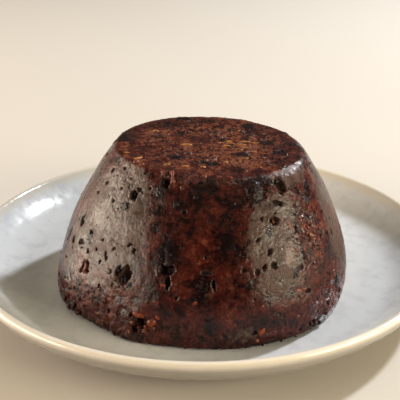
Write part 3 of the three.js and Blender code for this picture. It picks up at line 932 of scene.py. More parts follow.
# Mostly stain round fruit. The red patch at (-90, 52) paints a glow of light through the crumb, and the broad
# dark patch at (-90, 42) paints shade across the middle.
STAIN_AND_PAINTED_LIGHT = [  # above 0 redder and lighter, below 0 darker
    (-43, 48, 9, 16, 0.015), (-90, 52, 5, 7, 0.045), (-95, 12, 40, 14, -0.015), (-90, 42, 16, 24, -0.018),
    (-88, 64, 18, 7, -0.060), (-80, 47, 6, 8, -0.050), (-106, 42, 9, 12, -0.050), (-93, 47, 3.5, 3, 0.03),
    (-48, 50, 5, 6, -0.05), (-44, 58, 6, 5, -0.03), (-41, 30, 6, 6, -0.04), (-130, 80, 30, 9, 0.030),
    (*WHOLE_TOP, 0.065),
    (-11, 101.7, 38, 7, 0.07), (-150, 74, 16, 4, 0.06), (-149, 24, 6, 5, 0.07), (-171, 105, 30, 3, 0.05),
    (-60, 92, 22, 4, 0.04), (35, 88, 25, 6, -0.06), (110, 84, 30, 6, -0.05), (-15, 84, 18, 6, -0.05),
    (-128, 9, 26, 10, 0.065), (-64, 67, 10, 6, -0.060), (*TORN_RIGHT, 0.05), (90, 6, 100, 9, 0.03),
    (140, 20, 20, 9, -0.04),
]
SPECKLED = [  # where light and dark crumbs lie side by side
    (*WHOLE_TOP, 0.65), (-43, 48, 9, 16, 0.4), (*TORN_RIGHT, 0.5), (*TORN_LEFT, 0.5),
]
PITTED = [  # where bubbles left pits
    (0, 40, 400, 90, 0.14), (-147, 34, 14, 13, 0.6), (-140, 57, 20, 14, 0.3), (-62, 38, 14, 16, 0.45),
    (-42, 46, 8, 15, 0.7), (-146, 14, 14, 8, 0.6), (60, 34, 30, 14, 0.8), (140, 50, 24, 14, 0.6),
    (100, 16, 20, 9, 0.7), (10, 40, 12, 18, 0.6),
]
CHIPPY = [  # where peel and nuts show
    (*EVERYWHERE, 0.05), (-100, 9, 56, 11, 1.0), (-42, 42, 10, 22, 0.8), (*WHOLE_TOP, 0.55),
    (90, 10, 100, 12, 1.0), (*TORN_RIGHT, 0.8),
]
CURRANTS = [  # where small glossy currants lie at the surface
    (*WHOLE_TOP, 0.6), (-58, 69, 14, 5, 1.0), (-40, 50, 9, 18, 0.9), (-100, 9, 50, 8, 0.25),
    (-106, 72, 30, 5, 0.8), (0, 40, 400, 60, 0.06), (90, 20, 90, 14, 0.5), (*TORN_RIGHT, 0.8),
]
FRUITED = [(*EVERYWHERE, 0.12), (95, 35, 75, 60, 1.0)]  # where raisins lie, most of them behind
READ_BY_FINISH = {"polish": POLISHED, "wet": WET, "crumbly": CRUMBLY, "speckled": SPECKLED}
READ_BY_TREES = {"pitted": PITTED, "chippy": CHIPPY, "fruited": FRUITED, "currants": CURRANTS}
FACES_DOWN = -0.9  # upward part of a direction, below which it faces down


def set_attribute(mesh, name, values):
    """Gives every point of a mesh a value, or a direction if the values are rows of three."""
    kind, field = (VECTOR, "vector") if values.ndim == 2 else ("FLOAT", "value")
    layer = mesh.attributes.get(name) or mesh.attributes.new(name, kind, "POINT")
    layer.data.foreach_set(field, np.ascontiguousarray(values, dtype=np.float32).ravel())


def normals_of(mesh):
    values = np.empty(len(mesh.vertices) * 3, np.float32)
    mesh.vertex_normals.foreach_get("vector", values)
    return values.reshape(-1, 3)


def patches(rows, azimuth, up, join=np.maximum):
    """A value that has each patch's amount at its middle and fades to 0 around it."""
    value = np.zeros(len(azimuth))
    for centre, level, width, rise, amount in rows:
        aside = turn_from(azimuth, centre) / width
        value = join(value, amount * np.exp(-(aside**2) - ((up - level) / rise) ** 2))
    return value


def tell_zones(mesh, azimuth, up):
    """Gives points the values of the zones that their finish reads."""
    for label, rows in READ_BY_FINISH.items():
        set_attribute(mesh, label, patches(rows, azimuth, up))
    set_attribute(mesh, "tone", patches(STAIN_AND_PAINTED_LIGHT, azimuth, up, np.add))


outward = normals_of(pudding.data)
shows = np.where((outward[:, 2] < FACES_DOWN) & (ups < 0.5), 0.0, 1.0)
set_attribute(pudding.data, "outward", outward)
set_attribute(pudding.data, "shows", shows)
tell_zones(pudding.data, azimuths, ups)
for label, rows in READ_BY_TREES.items():
    set_attribute(pudding.data, label, patches(rows, azimuths, ups) * shows)
for label in ("pit", "fruit_near"):
    set_attribute(pudding.data, label, np.zeros(len(form_points)))
print("attributes:", sorted(a.name for a in pudding.data.attributes if not a.name.startswith(".")))

# %% [markdown]
# ## Pits
#
# Steam bubbles and lost crumbs leave pits. Every pit is an oval on the skin with a length, a width, a
# turn and a depth. A group finds, for each point of the skin, the nearest mark, and measures how far
# inside its oval the point is; noise added to that distance gives an uneven edge. Points inside move
# in, and the measure is kept as `pit`, so the finish can paint shade into the same outline. The
# alternative, cutting hundreds of small shapes with Booleans, is slow and leaves thin slivers.

# %% A group that presses marks into the skin
PRESS_INPUTS = {"Ragged": ("Float", 0.3), "Lip": ("Float", 0.0), "Steepness": ("Float", 0.5)}
NEARLY_UP = (0.12, 0.31, 0.94)  # tilted, because straight up gives no level line on the flat top


def mark_axes(tree, facing):
    """Two directions along the skin at a mark: level, and up the slope."""
    level = vectors(tree, "NORMALIZE", vectors(tree, "CROSS_PRODUCT", NEARLY_UP, facing))
    return level, vectors(tree, "CROSS_PRODUCT", facing, level)


def turned(tree, first, second, turn, join=maths, scale="MULTIPLY"):
    """A distance turned towards another, or a direction if joined by vectors and SCALE."""
    cosine, sine = maths(tree, "COSINE", turn), maths(tree, "SINE", turn)
    return join(tree, "ADD", join(tree, scale, first, cosine), join(tree, scale, second, sine))


def pressing_group():
    tree, given = new_tree("Press marks", {"Marks": ("Geometry", None), **PRESS_INPUTS})
    skin, marks = given["Geometry"], given["Marks"]
    here = make(tree, "GeometryNodeInputPosition")
    nearest = make(tree, "GeometryNodeSampleNearest", {"Geometry": marks}, domain="POINT")

    def of_mark(value, kind=VECTOR):
        return make(tree, "GeometryNodeSampleIndex",
                    {"Geometry": marks, "Value": value, "Index": nearest}, data_type=kind)

    size = of_mark(read(tree, "mark_size", VECTOR))
    turn = of_mark(read(tree, "mark_turn"), "FLOAT")
    away = vectors(tree, "SUBTRACT", here, of_mark(here))
    level, rise = mark_axes(tree, of_mark(read(tree, "outward", VECTOR)))
    across, along = vectors(tree, "DOT_PRODUCT", away, level), vectors(tree, "DOT_PRODUCT", away, rise)
    half_length, half_width, depth = split(tree, size)
    u = maths(tree, "DIVIDE", turned(tree, across, along, turn), half_length)
    quarter_on = plus(tree, turn, math.pi / 2)
    v = maths(tree, "DIVIDE", turned(tree, across, along, quarter_on), half_width)
    squared = plus(tree, times(tree, u, u), times(tree, v, v))
    reach = maths(tree, "SQRT", squared)  # 0 in the middle of the mark, 1 on its edge
    scale = maths(tree, "DIVIDE", 1.9, plus(tree, half_length, half_width))
    edge = make(tree, "ShaderNodeTexNoise", {"Scale": scale, "Detail": 2.0, "Roughness": 0.6})
    raggedness = times(tree, given["Ragged"], 4.0)  # 4, because noise seldom strays far from 0.5
    uneven = times(tree, minus(tree, edge, 0.5), raggedness)
    reach = plus(tree, reach, uneven)
    inside = maths(tree, "SUBTRACT", 1.0, reach, clamp=True)
    sunk = spread(tree, inside, 0.0, given["Steepness"])
    lip_in, lip_out = spread(tree, reach, 0.95, 1.12), spread(tree, reach, 1.12, 1.45, 1.0, 0.0)
    lip = times(tree, times(tree, lip_in, lip_out), given["Lip"])
    move = times(tree, depth, minus(tree, lip, sunk))
    move = times(tree, move, read(tree, "shows"))
    noted = keep(tree, skin, "pit", maths(tree, "MAXIMUM", inside, read(tree, "pit")))
    end_tree(tree, given, push(tree, noted, read(tree, "outward", VECTOR), move))
    return tree


PRESS = pressing_group()
print("pressing group of", len(PRESS.nodes), "nodes")

# %% [markdown]
# ## Strewn marks and placed marks
#
# Most pits are strewn: points spread over the skin with a least gap, denser where `pitted` says so,
# most of them small. The ones that one would know this pudding by are placed one by one instead.
# Placing all of them would take days, and strewing all of them would give another pudding. Both kinds
# are points with the same attributes, so one group serves them, and fruit uses them too.

# %% Strewing points, and trees for strewn and placed pits
STREW_INPUTS = {
    "Where": ("String", "shows"), "Per Square Metre": ("Float", 5000.0), "Least Gap": ("Float", 0.004),
    "Shortest": ("Float", 0.001), "Longest": ("Float", 0.003), "Narrowest": ("Float", 0.5),
    "Seed": ("Int", 1)}
MOSTLY_SMALL = 1.8  # a power above 1 makes small sizes commoner than large ones


def draw(tree, given, low, high, number):
    """A random value for each point, from the tree's seed and the number of the draw."""
    seed = maths(tree, "MULTIPLY_ADD", given["Seed"], 10, number)
    return make(tree, "FunctionNodeRandomValue", {"Min": low, "Max": high, "Seed": seed}, data_type="FLOAT")


def strewn_points(tree, given, third_size):
    """Points on the skin with a random size and turn; third_size is given the length and says the third."""
    points = make(tree, "GeometryNodeDistributePointsOnFaces", {
        "Mesh": given["Geometry"], "Distance Min": given["Least Gap"],
        "Density Max": given["Per Square Metre"], "Density Factor": read(tree, given["Where"]),
        "Seed": given["Seed"]}, distribute_method="POISSON")
    small = maths(tree, "POWER", draw(tree, given, 0.0, 1.0, 1), MOSTLY_SMALL)
    longer = minus(tree, given["Longest"], given["Shortest"])
    length = maths(tree, "MULTIPLY_ADD", small, longer, given["Shortest"])
    half = times(tree, length, 0.5)
    width = times(tree, half, draw(tree, given, given["Narrowest"], 1.0, 2))
    size = make(tree, "ShaderNodeCombineXYZ", (half, width, third_size(length)))
    sized = keep(tree, points, "mark_size", size, VECTOR)
    return keep(tree, sized, "mark_turn", draw(tree, given, 0.0, math.pi, 4))


def placed_points(tree, given):
    found = make(tree, "GeometryNodeObjectInfo", {"Object": given["Placed"]}, "Geometry")
    return make(tree, "GeometryNodeMeshToPoints", {"Mesh": found})


def pressing_tree(name, inputs, points_of):
    """A tree that presses the points it is given into the skin."""
    tree, given = new_tree(name, {**PRESS_INPUTS, **inputs})
    node = tree.nodes.new("GeometryNodeGroup")
    node.node_tree = PRESS
    for label in ("Geometry", *PRESS_INPUTS):
        tree.links.new(given[label], node.inputs[label])
    tree.links.new(points_of(tree, given), node.inputs["Marks"])
    end_tree(tree, given, node.outputs[0])
    return tree


def strewn_pits(tree, given):
    def depth(length):
        share = times(tree, given["Depth Share"], draw(tree, given, 0.6, 1.3, 3))
        return times(tree, length, share)
    return strewn_points(tree, given, depth)


STREW_PITS = pressing_tree("Strewn pits", {**STREW_INPUTS, "Depth Share": ("Float", 0.4)}, strewn_pits)
PLACE_PITS = pressing_tree("Placed pits", {"Placed": ("Object", None)}, placed_points)
print("pit trees of", len(STREW_PITS.nodes), "and", len(PLACE_PITS.nodes), "nodes")

# %% [markdown]
# ## Pressing the pits
#
# The strewn pits go in first. Then come the pits and cracks that stand out, each where a large bubble
# or a lost raisin left it, and those are marked one by one on the form. Wide shallow hollows precede
# them, so that steeper holes can lie inside. Every pit could be an object of its own, but rows of a
# table are easier to compare.

# %% The strewn pits and the placed pits
# Each: azimuth, up, across, tall, depth, turn in degrees
HOLLOWS = [  # wide and shallow, with fruit or a lump in them
    (-124.6, 28.4, 7.6, 9.0, 1.6, -15), (-114.0, 10.5, 10.0, 7.0, 1.6, -10),
]
PLACED_PITS = [
    (-132.9, 60, 4.2, 5.4, 2.8, -25),     # upper left
    (-131, 62.6, 2, 2.2, 1.4, 0),
    (-146.8, 24.2, 5.4, 7.6, 2, -15),     # hole at the left that a lump nearly fills
    (-123.2, 30, 4, 7.4, 2.2, 5),         # cavity with fruit in it
    (-128, 29.6, 3.2, 4.8, 1.6, -20),
    (-106, 35.3, 7.4, 5.2, 3, 8),         # keyhole
    (-105, 30.4, 3.2, 5.4, 2.6, 0),       # its slot
    (-90, 35.2, 5.6, 1.8, 1.3, 0),
    (-86.8, 31, 1.5, 6.8, 2.2, 12),       # crack
    (-115.4, 67.6, 3.2, 5.6, 2.8, 15),    # crack at the rim
    (-114.5, 11.5, 8.4, 6, 2.2, -20),     # low cavity
    (-116.5, 7, 4, 3.4, 2, 0),
    (-51.2, 66, 5, 8.6, 2.6, 10),         # dark hole beside the glossy pair
    (-55.4, 60, 5.6, 3, 1.8, -15),        # kidney below it
    (-59.7, 53.6, 4.8, 4.6, 1.7, 0),      # ring
    (-65.4, 55.2, 2, 2.6, 0.9, 30), (-35.2, 60.5, 4.4, 8, 2, -20), (-43.4, 42.7, 3.2, 4.4, 2, 0),
    (-35.7, 42.6, 2.6, 4.4, 1.4, 0), (-26.8, 38.9, 1.8, 4.4, 1.3, 10), (-39.6, 36.8, 2, 3.2, 1.3, 0),
    (-36.5, 22.5, 2.4, 5.4, 2, 0), (-48.8, 21.5, 2.8, 2, 1.6, 0), (-37.4, 9.8, 2.4, 3.4, 1.8, 0),
    (-63.9, 41.9, 1.7, 2.2, 1.3, 0), (-62.9, 36.3, 2.1, 3.2, 1.5, 20), (-66.9, 36.3, 1.7, 2.4, 1.3, -20),
    (-69.8, 35, 2, 2.2, 1, 0), (-75.1, 36.4, 2.8, 2.4, 1.5, 0), (-48.6, 35.7, 1.4, 1.7, 1, 0),
    (-163.2, 39.3, 5.4, 4.8, 1.6, -20),   # slot at the left edge
    (-151.6, 38.7, 2.6, 2.2, 1.5, 10), (-163.6, 30.1, 3.4, 3.4, 1.3, 10), (-155.8, 32.3, 4.6, 2.4, 1.5, 15),
    (-171.3, 26.7, 2, 3, 1.2, 0), (-161.6, 27.2, 1.3, 1.4, 1, 0), (-137.1, 34.2, 1.2, 1.9, 1.1, -20),
    (-135.8, 32.3, 1.6, 1.8, 1.1, 0), (-139, 29.9, 1.6, 1.6, 1.1, 0), (-148.8, 31, 1.4, 1.5, 1, 0),
    (-141.5, 38.7, 1.4, 1.4, 1, 0), (-133.4, 37.4, 1.4, 1.7, 0.6, 0), (-125.7, 41.2, 3.6, 1.2, 1.1, 35),
    (-122.3, 39.6, 1.4, 2.3, 1, -10), (-159.5, 64.3, 1.6, 2.4, 1, 0), (-157.9, 59.2, 1.5, 2, 1, 0),
    (-145.1, 54.9, 1.3, 1.4, 0.9, 0), (-139.4, 52.9, 1.3, 1.3, 0.8, 0), (-71, 8, 2, 2.4, 1.4, 0),
    (-102, 58, 3, 2.2, 0.8, 20),
]
NEARBY = 0.3  # degrees or millimetres to the points that tell how the form faces
ON_TOP = 74.0  # mm up, past which a mark lies well in on the flat top


def place_of(azimuth, up):
    """The point of the form at an azimuth and a distance up its side and on across its top."""
    beyond = np.maximum(up - PUDDING_HEIGHT, 0)
    rim = side_point(azimuth, np.minimum(up, PUDDING_HEIGHT))
    inward = TOP_MIDDLE - rim
    return rim + inward * (beyond / np.linalg.norm(inward, axis=1))[:, None]


def loose_marks(name, rows):
    """Points on the form with each mark's size and turn, from rows of place and size.

    A mark's kind runs from least_kind up to 1 less less_kind, so marks on the top are of pale kinds.
    """
    azimuth, up, across, tall, third, turn = np.array(rows, float).T
    aside = place_of(azimuth + NEARBY, up) - place_of(azimuth - NEARBY, up)
    above = place_of(azimuth, up + NEARBY) - place_of(azimuth, up - NEARBY)
    facing = np.cross(aside, above)
    facing /= np.linalg.norm(facing, axis=1)[:, None]
    made = new_mesh_object(name, place_of(azimuth, up) * MM, [])
    sizes = np.stack([across / 2, tall / 2, third], axis=1) * MM
    set_attribute(made.data, "outward", facing)
    set_attribute(made.data, "mark_size", sizes)
    set_attribute(made.data, "mark_turn", np.radians(turn))
    set_attribute(made.data, "least_kind", np.where(up > ON_TOP, 0.7, 0.35))
    set_attribute(made.data, "less_kind", np.where(up > ON_TOP, 0.0, 0.35))
    tell_zones(made.data, azimuth, up)
    return made


run_tree(pudding, STREW_PITS, {
    "Ragged": 0.5, "Lip": 0.0, "Steepness": 0.35, "Where": "pitted", "Per Square Metre": 16000.0,
    "Least Gap": 2.8 * MM, "Shortest": 0.8 * MM, "Longest": 2.1 * MM, "Narrowest": 0.55,
    "Depth Share": 0.85, "Seed": 7, "Material": CRUMB})
for rows, ragged, lip, steepness in ((HOLLOWS, 0.35, 0.0, 0.5), (PLACED_PITS, 0.55, 0.10, 0.28)):
    pit_points = loose_marks("placed_pits", rows)
    run_tree(pudding, PLACE_PITS, {
        "Ragged": ragged, "Lip": lip, "Steepness": steepness, "Placed": pit_points, "Material": CRUMB})
    bpy.data.objects.remove(pit_points)
print(len(PLACED_PITS), "placed pits; skin:", triangles(pudding), "triangles")

# %% [markdown]
# ## Lumps and crumb
#
# Fruit pressed against the basin leaves broad lumps. Where the skin is torn the mixture falls into
# round clumps of a few millimetres with creases between them, and crumb finer still lies on those.
# One tree adds all three, with noise for the lumps and the crumb and with rounded cells for the
# clumps. It runs after the pits, so that their walls turn crumbly too. A bump in the finish would be
# lighter, but it would leave the outline smooth.

# %% A tree for lumps and crumb
def relief_tree():
    tree, given = new_tree("Lumps and crumb", {
        "Lump Size": ("Float", 0.02), "Lump Height": ("Float", 0.0005),
        "Clump Size": ("Float", 0.005), "Clump Height": ("Float", 0.0003),
        "Crumb Size": ("Float", 0.002), "Crumb Height": ("Float", 0.0001), "Smooth Share": ("Float", 0.2)})
    rough = spread(tree, read(tree, "crumbly"), 0.1, 0.8, given["Smooth Share"], 1.0)
    rough = maths(tree, "MAXIMUM", rough, spread(tree, read(tree, "pit"), 0.0, 0.3, 0.0, 0.7))

    def swell(label, detail):
        noise = make(tree, "ShaderNodeTexNoise", {
            "Scale": maths(tree, "DIVIDE", 1.0, given[label + " Size"]), "Detail": detail})
        lift = times(tree, minus(tree, noise, 0.5), 2.0)
        return times(tree, lift, given[label + " Height"])

    here = make(tree, "GeometryNodeInputPosition")
    noise = make(tree, "ShaderNodeTexNoise", {
        "Scale": maths(tree, "DIVIDE", 1.5, given["Clump Size"]), "Detail": 2.0}, "Color")
    bent = vectors(tree, "ADD", here, vectors(tree, "SCALE", noise, given["Clump Size"]))
    apart = make(tree, "ShaderNodeTexVoronoi", {
        "Vector": bent, "Scale": maths(tree, "DIVIDE", 1.0, given["Clump Size"]), "Smoothness": 0.25},
        "Distance", feature="SMOOTH_F1")
    clump = minus(tree, 0.22, times(tree, apart, apart))  # round on top, with creases between clumps
    clump = times(tree, clump, times(tree, given["Clump Height"], 2.2))
    total = plus(tree, clump, swell("Crumb", 2.0))
    total = maths(tree, "MULTIPLY_ADD", total, rough, swell("Lump", 1.0))
    total = times(tree, total, read(tree, "shows"))
    end_tree(tree, given, push(tree, given["Geometry"], read(tree, "outward", VECTOR), total))
    return tree


run_tree(pudding, relief_tree(), {
    "Lump Size": 18 * MM, "Lump Height": 0.7 * MM, "Clump Size": 3.0 * MM, "Clump Height": 0.7 * MM,
    "Crumb Size": 1.5 * MM, "Crumb Height": 0.75 * MM, "Smooth Share": 0.12, "Material": CRUMB})
print("relief added to", len(pudding.data.vertices), "points")

# %% [markdown]
# ## Setting fruit into the skin
#
# Raisins and peel were pressed flat against the basin, so only a broad wrinkled face of each shows,
# flush with the skin or just under it. A tree sets them like stones: it strews points, adds the placed
# ones, moves them onto the true skin, and puts a ball on each, stretched and mostly sunk. What would
# stand out further than its own `proud` is pressed back, then noise wrinkles it. Each bit keeps a
# random `kind` for its colour. Modelling a few bits and copying them about would show the copies.

# %% A tree that sets bits into the skin
SUNK = -0.75  # how far out from the skin a bit's middle lies, in its own half thicknesses


def setting_tree():
    tree, given = new_tree("Set bits into the skin", {
        **STREW_INPUTS, "Placed": ("Object", None), "Least Proud": ("Float", -0.0004),
        "Most Proud": ("Float", 0.0003), "Thickness": ("Float", 0.8), "Fineness": ("Int", 3),
        "Bulge": ("Float", 0.2), "Flatness": ("Float", 0.85), "Wrinkle Size": ("Float", 0.002),
        "Wrinkle Height": ("Float", 0.0003)})
    strewn = strewn_points(tree, given, lambda length: draw(
        tree, given, given["Least Proud"], given["Most Proud"], 3))
    both = tree.nodes.new("GeometryNodeJoinGeometry")
    for points in (placed_points(tree, given), strewn):
        tree.links.new(points, both.inputs[0])
    on_skin = make(tree, "GeometryNodeProximity", {"Geometry": given["Geometry"]}, "Position",
                   target_element="FACES")
    seated = make(tree, "GeometryNodeSetPosition", {"Geometry": both.outputs[0], "Position": on_skin})
    seated = keep(tree, seated, "seat", make(tree, "GeometryNodeInputPosition"), VECTOR)
    most_kind = minus(tree, 1.0, read(tree, "less_kind"))
    kind = draw(tree, given, read(tree, "least_kind"), most_kind, 5)
    seated = keep(tree, seated, "kind", kind)

    facing = read(tree, "outward", VECTOR)
    half_length, half_width, proud = split(tree, read(tree, "mark_size", VECTOR))
    half_thick = times(tree, maths(tree, "MINIMUM", half_length, half_width), given["Thickness"])
    level, rise = mark_axes(tree, facing)
    rotation = make(tree, "FunctionNodeAxesToRotation", (
        facing, turned(tree, level, rise, read(tree, "mark_turn"), vectors, "SCALE")))
    sunk = maths(tree, "MULTIPLY_ADD", half_thick, SUNK, proud)
    lowered = push(tree, seated, facing, sunk)
    ball = make(tree, "GeometryNodeMeshIcoSphere", {"Radius": 1.0, "Subdivisions": given["Fineness"]})
    balls = make(tree, "GeometryNodeInstanceOnPoints", {
        "Points": lowered, "Instance": ball, "Rotation": rotation,
        "Scale": make(tree, "ShaderNodeCombineXYZ", (half_length, half_width, half_thick))})
    real = make(tree, "GeometryNodeRealizeInstances", (balls,))

    here = make(tree, "GeometryNodeInputPosition")
    normal = make(tree, "GeometryNodeInputNormal")
    lumps = make(tree, "ShaderNodeTexNoise", {"Scale": maths(tree, "DIVIDE", 0.7, half_width), "Detail": 1.0})
    most_bulge = times(tree, given["Bulge"], half_width)
    bulge = times(tree, minus(tree, lumps, 0.5), most_bulge)
    uneven = push(tree, real, normal, times(tree, bulge, 4.0))
    from_seat = vectors(tree, "SUBTRACT", here, read(tree, "seat", VECTOR))
    height = vectors(tree, "DOT_PRODUCT", from_seat, facing)
    over = maths(tree, "MAXIMUM", minus(tree, height, proud), 0.0)
    pressed_in = times(tree, over, minus(tree, 0.0, given["Flatness"]))
    pressed = push(tree, uneven, facing, pressed_in)
    folds = make(tree, "ShaderNodeTexNoise", {
        "Scale": maths(tree, "DIVIDE", 1.0, given["Wrinkle Size"]), "Detail": 1.0, "Distortion": 0.6})
    folds = maths(tree, "ABSOLUTE", minus(tree, folds, 0.5))  # sharp where the noise crosses 0.5
    folds = minus(tree, times(tree, folds, 5.0), 0.6)
    wrinkled = push(tree, pressed, normal, times(tree, folds, given["Wrinkle Height"]))
    end_tree(tree, given, make(tree, "GeometryNodeSetShadeSmooth", {"Geometry": wrinkled}))
    return tree


SET_BITS = setting_tree()
print("setting tree of", len(SET_BITS.nodes), "nodes")

# %% [markdown]
# ## The raisins
#
# Whole raisins went into the mixture, and those against the basin show as flat wrinkled patches 5 to
# 13 mm across. The ones in front and on the top are placed, because they give this pudding its face.
# Those behind are strewn, which is quicker and looks as natural.

# %% The raisins
# Each: azimuth, up, across, tall, proud, turn in degrees
PLACED_RAISINS = [
    (-66.5, 66, 11.6, 12, 0.5, 20),       # the glossy pair, upper right
    (-58.6, 69, 4.6, 3.6, 0.5, -20), (-118.5, 64, 7, 8, 0.1, 10), (-104, 60, 10, 7, -0.1, -10),
    (-114.5, 50.3, 7.5, 7, -0.4, 0),
    (-91.6, 31.8, 8, 9, 0, 10),           # beside the crack
    (-125.6, 27, 5, 3.8, 0.1, 10),        # in the cavity
    (-121.4, 25.4, 3.2, 3, 0.4, 0), (-128.6, 30, 3, 3.4, -0.1, 30), (-124, 17.4, 8, 8, -0.2, 20),
    (-147.5, 18, 7, 5.5, 0, 40), (-89.5, 67.5, 13, 5, -0.5, 0), (-80.7, 48, 8, 8, -0.5, 0),
    (-107.4, 41.6, 9, 12, -0.5, 10), (-79, 40, 7, 6, -0.5, 0), (-87.2, 10.6, 7, 5, -0.1, 0),
    (-30.2, 19, 6, 11, 0.1, 0),           # at the right edge
    (-53.5, 31.7, 5.5, 5.5, 0.1, 0), (-63.3, 49.5, 7, 6, -0.4, 0), (-173.5, 58.7, 4, 7, -0.1, 10),
    (-162.2, 42, 3.5, 6, 0, -10), (-43.5, 63.5, 5, 8, -0.1, 10), (-38, 57.5, 5, 6, 0.1, 0),
    (-70, 13, 9, 5, -0.4, 30), (-100, 18, 8, 6, -0.4, -20), (-139, 62, 6, 8, -1, 20),
    (-131, 44, 7, 6, -1, 0),
    (169.5, 75.8, 8, 10, 0, 20),          # from here on, on the top
    (109, 78.2, 12, 8, 0.1, 20), (52, 80.1, 8, 9, 0.1, 20), (3, 88.2, 13, 9, 0.1, 20),
    (-1, 76.5, 9, 8, 0.15, 20), (-45.7, 99.5, 13, 8, 0, 20), (-94, 89.7, 13, 6, 0.1, 20),
    (158, 90.5, 10, 8, -0.3, 20), (130, 98.3, 9, 8, -0.3, 20), (39, 106.3, 11, 8, -0.3, 20),
    (-20, 84, 10, 8, -0.3, 10), (-135, 90, 9, 8, -0.3, 30), (-70, 80, 9, 6, -0.3, 20),
]


def set_into_skin(name, material, placed, values):
    """Sets bits into the pudding's skin and gives them as a piece of their own."""
    piece = bpy.data.objects.new(name, pudding.data.copy())
    SCENE.collection.objects.link(piece)
    marks = loose_marks(name + "_marks", placed)
    run_tree(piece, SET_BITS, {**values, "Placed": marks, "Material": material})
    bpy.data.objects.remove(marks)
    print(name + ":", triangles(piece), "triangles")
    return piece


raisins = set_into_skin("raisins", RAISIN, PLACED_RAISINS, {
    "Where": "fruited", "Per Square Metre": 3600.0, "Least Gap": 9 * MM, "Shortest": 5.5 * MM,
    "Longest": 10 * MM, "Narrowest": 0.6, "Least Proud": -0.5 * MM, "Most Proud": 0.3 * MM,
    "Thickness": 0.7, "Fineness": 4, "Bulge": 0.25, "Flatness": 0.65, "Wrinkle Size": 2.0 * MM,
    "Wrinkle Height": 0.42 * MM, "Seed": 3})

# %% [markdown]
# ## The currants
#
# Currants are dried like raisins but only 1 to 3 mm across here, and they stand a little proud. There
# are too many to place, so all but two are strewn where the mixture is rough. They wear the raisin's
# finish and are a piece of their own, because their balls are coarser and smoother.

# %% The currants
PLACED_CURRANTS = [(-152.0, 12.0, 3.0, 2.4, 0.3, 0), (-97.0, 64.0, 2.6, 2.2, 0.3, 0)]

currants = set_into_skin("currants", RAISIN, PLACED_CURRANTS, {
    "Where": "currants", "Per Square Metre": 9000.0, "Least Gap": 3.4 * MM, "Shortest": 1.3 * MM,
    "Longest": 3.4 * MM, "Narrowest": 0.7, "Least Proud": 0.1 * MM, "Most Proud": 0.6 * MM,
    "Thickness": 0.9, "Fineness": 3, "Bulge": 0.3, "Wrinkle Size": 1.6 * MM,
    "Wrinkle Height": 0.06 * MM, "Seed": 17})

# %% [markdown]
# ## The peel and nuts
#
# Chopped candied peel and nuts show as small flakes and chips, golden on the top and brown to orange
# on the side. Those that catch the eye are placed; the rest are strewn, most of them along the foot,
# on the top and in the torn skin. Flat painted flecks would do from afar, but they would not catch
# the light.

# %% The peel and nuts
# Each: azimuth, up, across, tall, proud, turn in degrees
PLACED_PEEL = [
    (-151.6, 27.6, 5, 1.6, 0.1, -25),     # above the hole at the left
    (-115.6, 13.8, 5.6, 2.8, 0.9, -10),   # lumps in the low cavity
    (-109.6, 11.6, 5, 4.6, 1.2, 0), (-112.4, 8.6, 3, 2.6, 0.8, 0), (-118, 9.4, 2.4, 1.8, 0.6, 30),
    (-107.6, 14.4, 2.6, 2, 0.5, -20),
    (-112.6, 69.6, 2.4, 6.6, 0.7, 10),    # by the crack at the rim
    (-120, 70.8, 2.4, 2.6, 0.3, 0), (-53.4, 23.6, 3.4, 2.4, 0.1, 20), (-50.4, 23, 2.6, 1.8, 0.1, -20),
    (-108.3, 28.1, 6, 2.6, 0, 10), (-117, 25.4, 2, 4, 0, 0), (-93.6, 22.5, 2.6, 4.6, 0, -20),
    (-79.8, 14.4, 2, 2, 0.1, 0), (-68.2, 9, 2.2, 5, 0, -20), (-150, 3.4, 2.6, 2.6, 0.2, 0),
    (-130.3, 7, 2.6, 2.2, 0.1, 0), (-116, 41.3, 1.8, 1.8, 0.1, 0), (-167.3, 46.5, 2, 3.4, 0.1, 10),
    (-59.2, 53.8, 1.8, 2, 0.5, 0),        # seed in the ring
    (-68.7, 42.2, 2.4, 2, 0, 0), (-52.1, 39.5, 1.2, 4.4, 0, 0), (-136.3, 46.8, 3, 3, -0.05, 0),
    (-172, 105.6, 7, 1.9, 0.3, 28), (-18, 110.7, 6, 1.6, 0.4, 18), (24, 104, 6, 1.6, 0.35, 30),
    (-49, 94.4, 4.4, 2.6, 0.3, 5), (-73, 91, 3.2, 2, 0.35, 30), (-17, 100.8, 6, 1.7, 0.35, 12),
    (143, 85.7, 4, 2.6, 0.4, 20), (-150, 76, 5, 2, 0.4, 50), (-125, 80, 3.5, 2.2, 0.4, 30),
    (4, 94, 4, 1.3, 0.35, 20), (-30, 104, 4.4, 1.3, 0.35, 24), (14, 110, 3.6, 1.2, 0.35, 16),
    (8, 106, 5, 1.5, 0.35, 10), (10, 98.5, 6.4, 1.6, 0.35, 24), (-24, 96, 5, 1.4, 0.35, 30),
    (-4, 102.5, 5.4, 1.4, 0.4, 12), (-146, 73.5, 3, 4.4, 0.5, 10), (-139, 73, 2.4, 3.4, 0.5, 30),
    (-84, 73.4, 2.4, 1.8, 0.3, 0), (-78, 73, 3, 1.6, 0.3, 0), (-95, 84, 3, 1.6, 0.35, 20),
    (-164, 74.5, 3, 3, 0.4, 0), (-93, 73, 2.4, 2.4, 0.4, 0), (-110, 82, 4, 1.5, 0.35, 30),
]

peel = set_into_skin("peel_and_nuts", PEEL, PLACED_PEEL, {
    "Where": "chippy", "Per Square Metre": 18000.0, "Least Gap": 3.4 * MM, "Shortest": 0.8 * MM,
    "Longest": 3.6 * MM, "Narrowest": 0.35, "Least Proud": -0.15 * MM, "Most Proud": 0.15 * MM,
    "Thickness": 0.8, "Fineness": 2, "Bulge": 0.5, "Wrinkle Size": 1.4 * MM,
    "Wrinkle Height": 0.1 * MM, "Seed": 5})

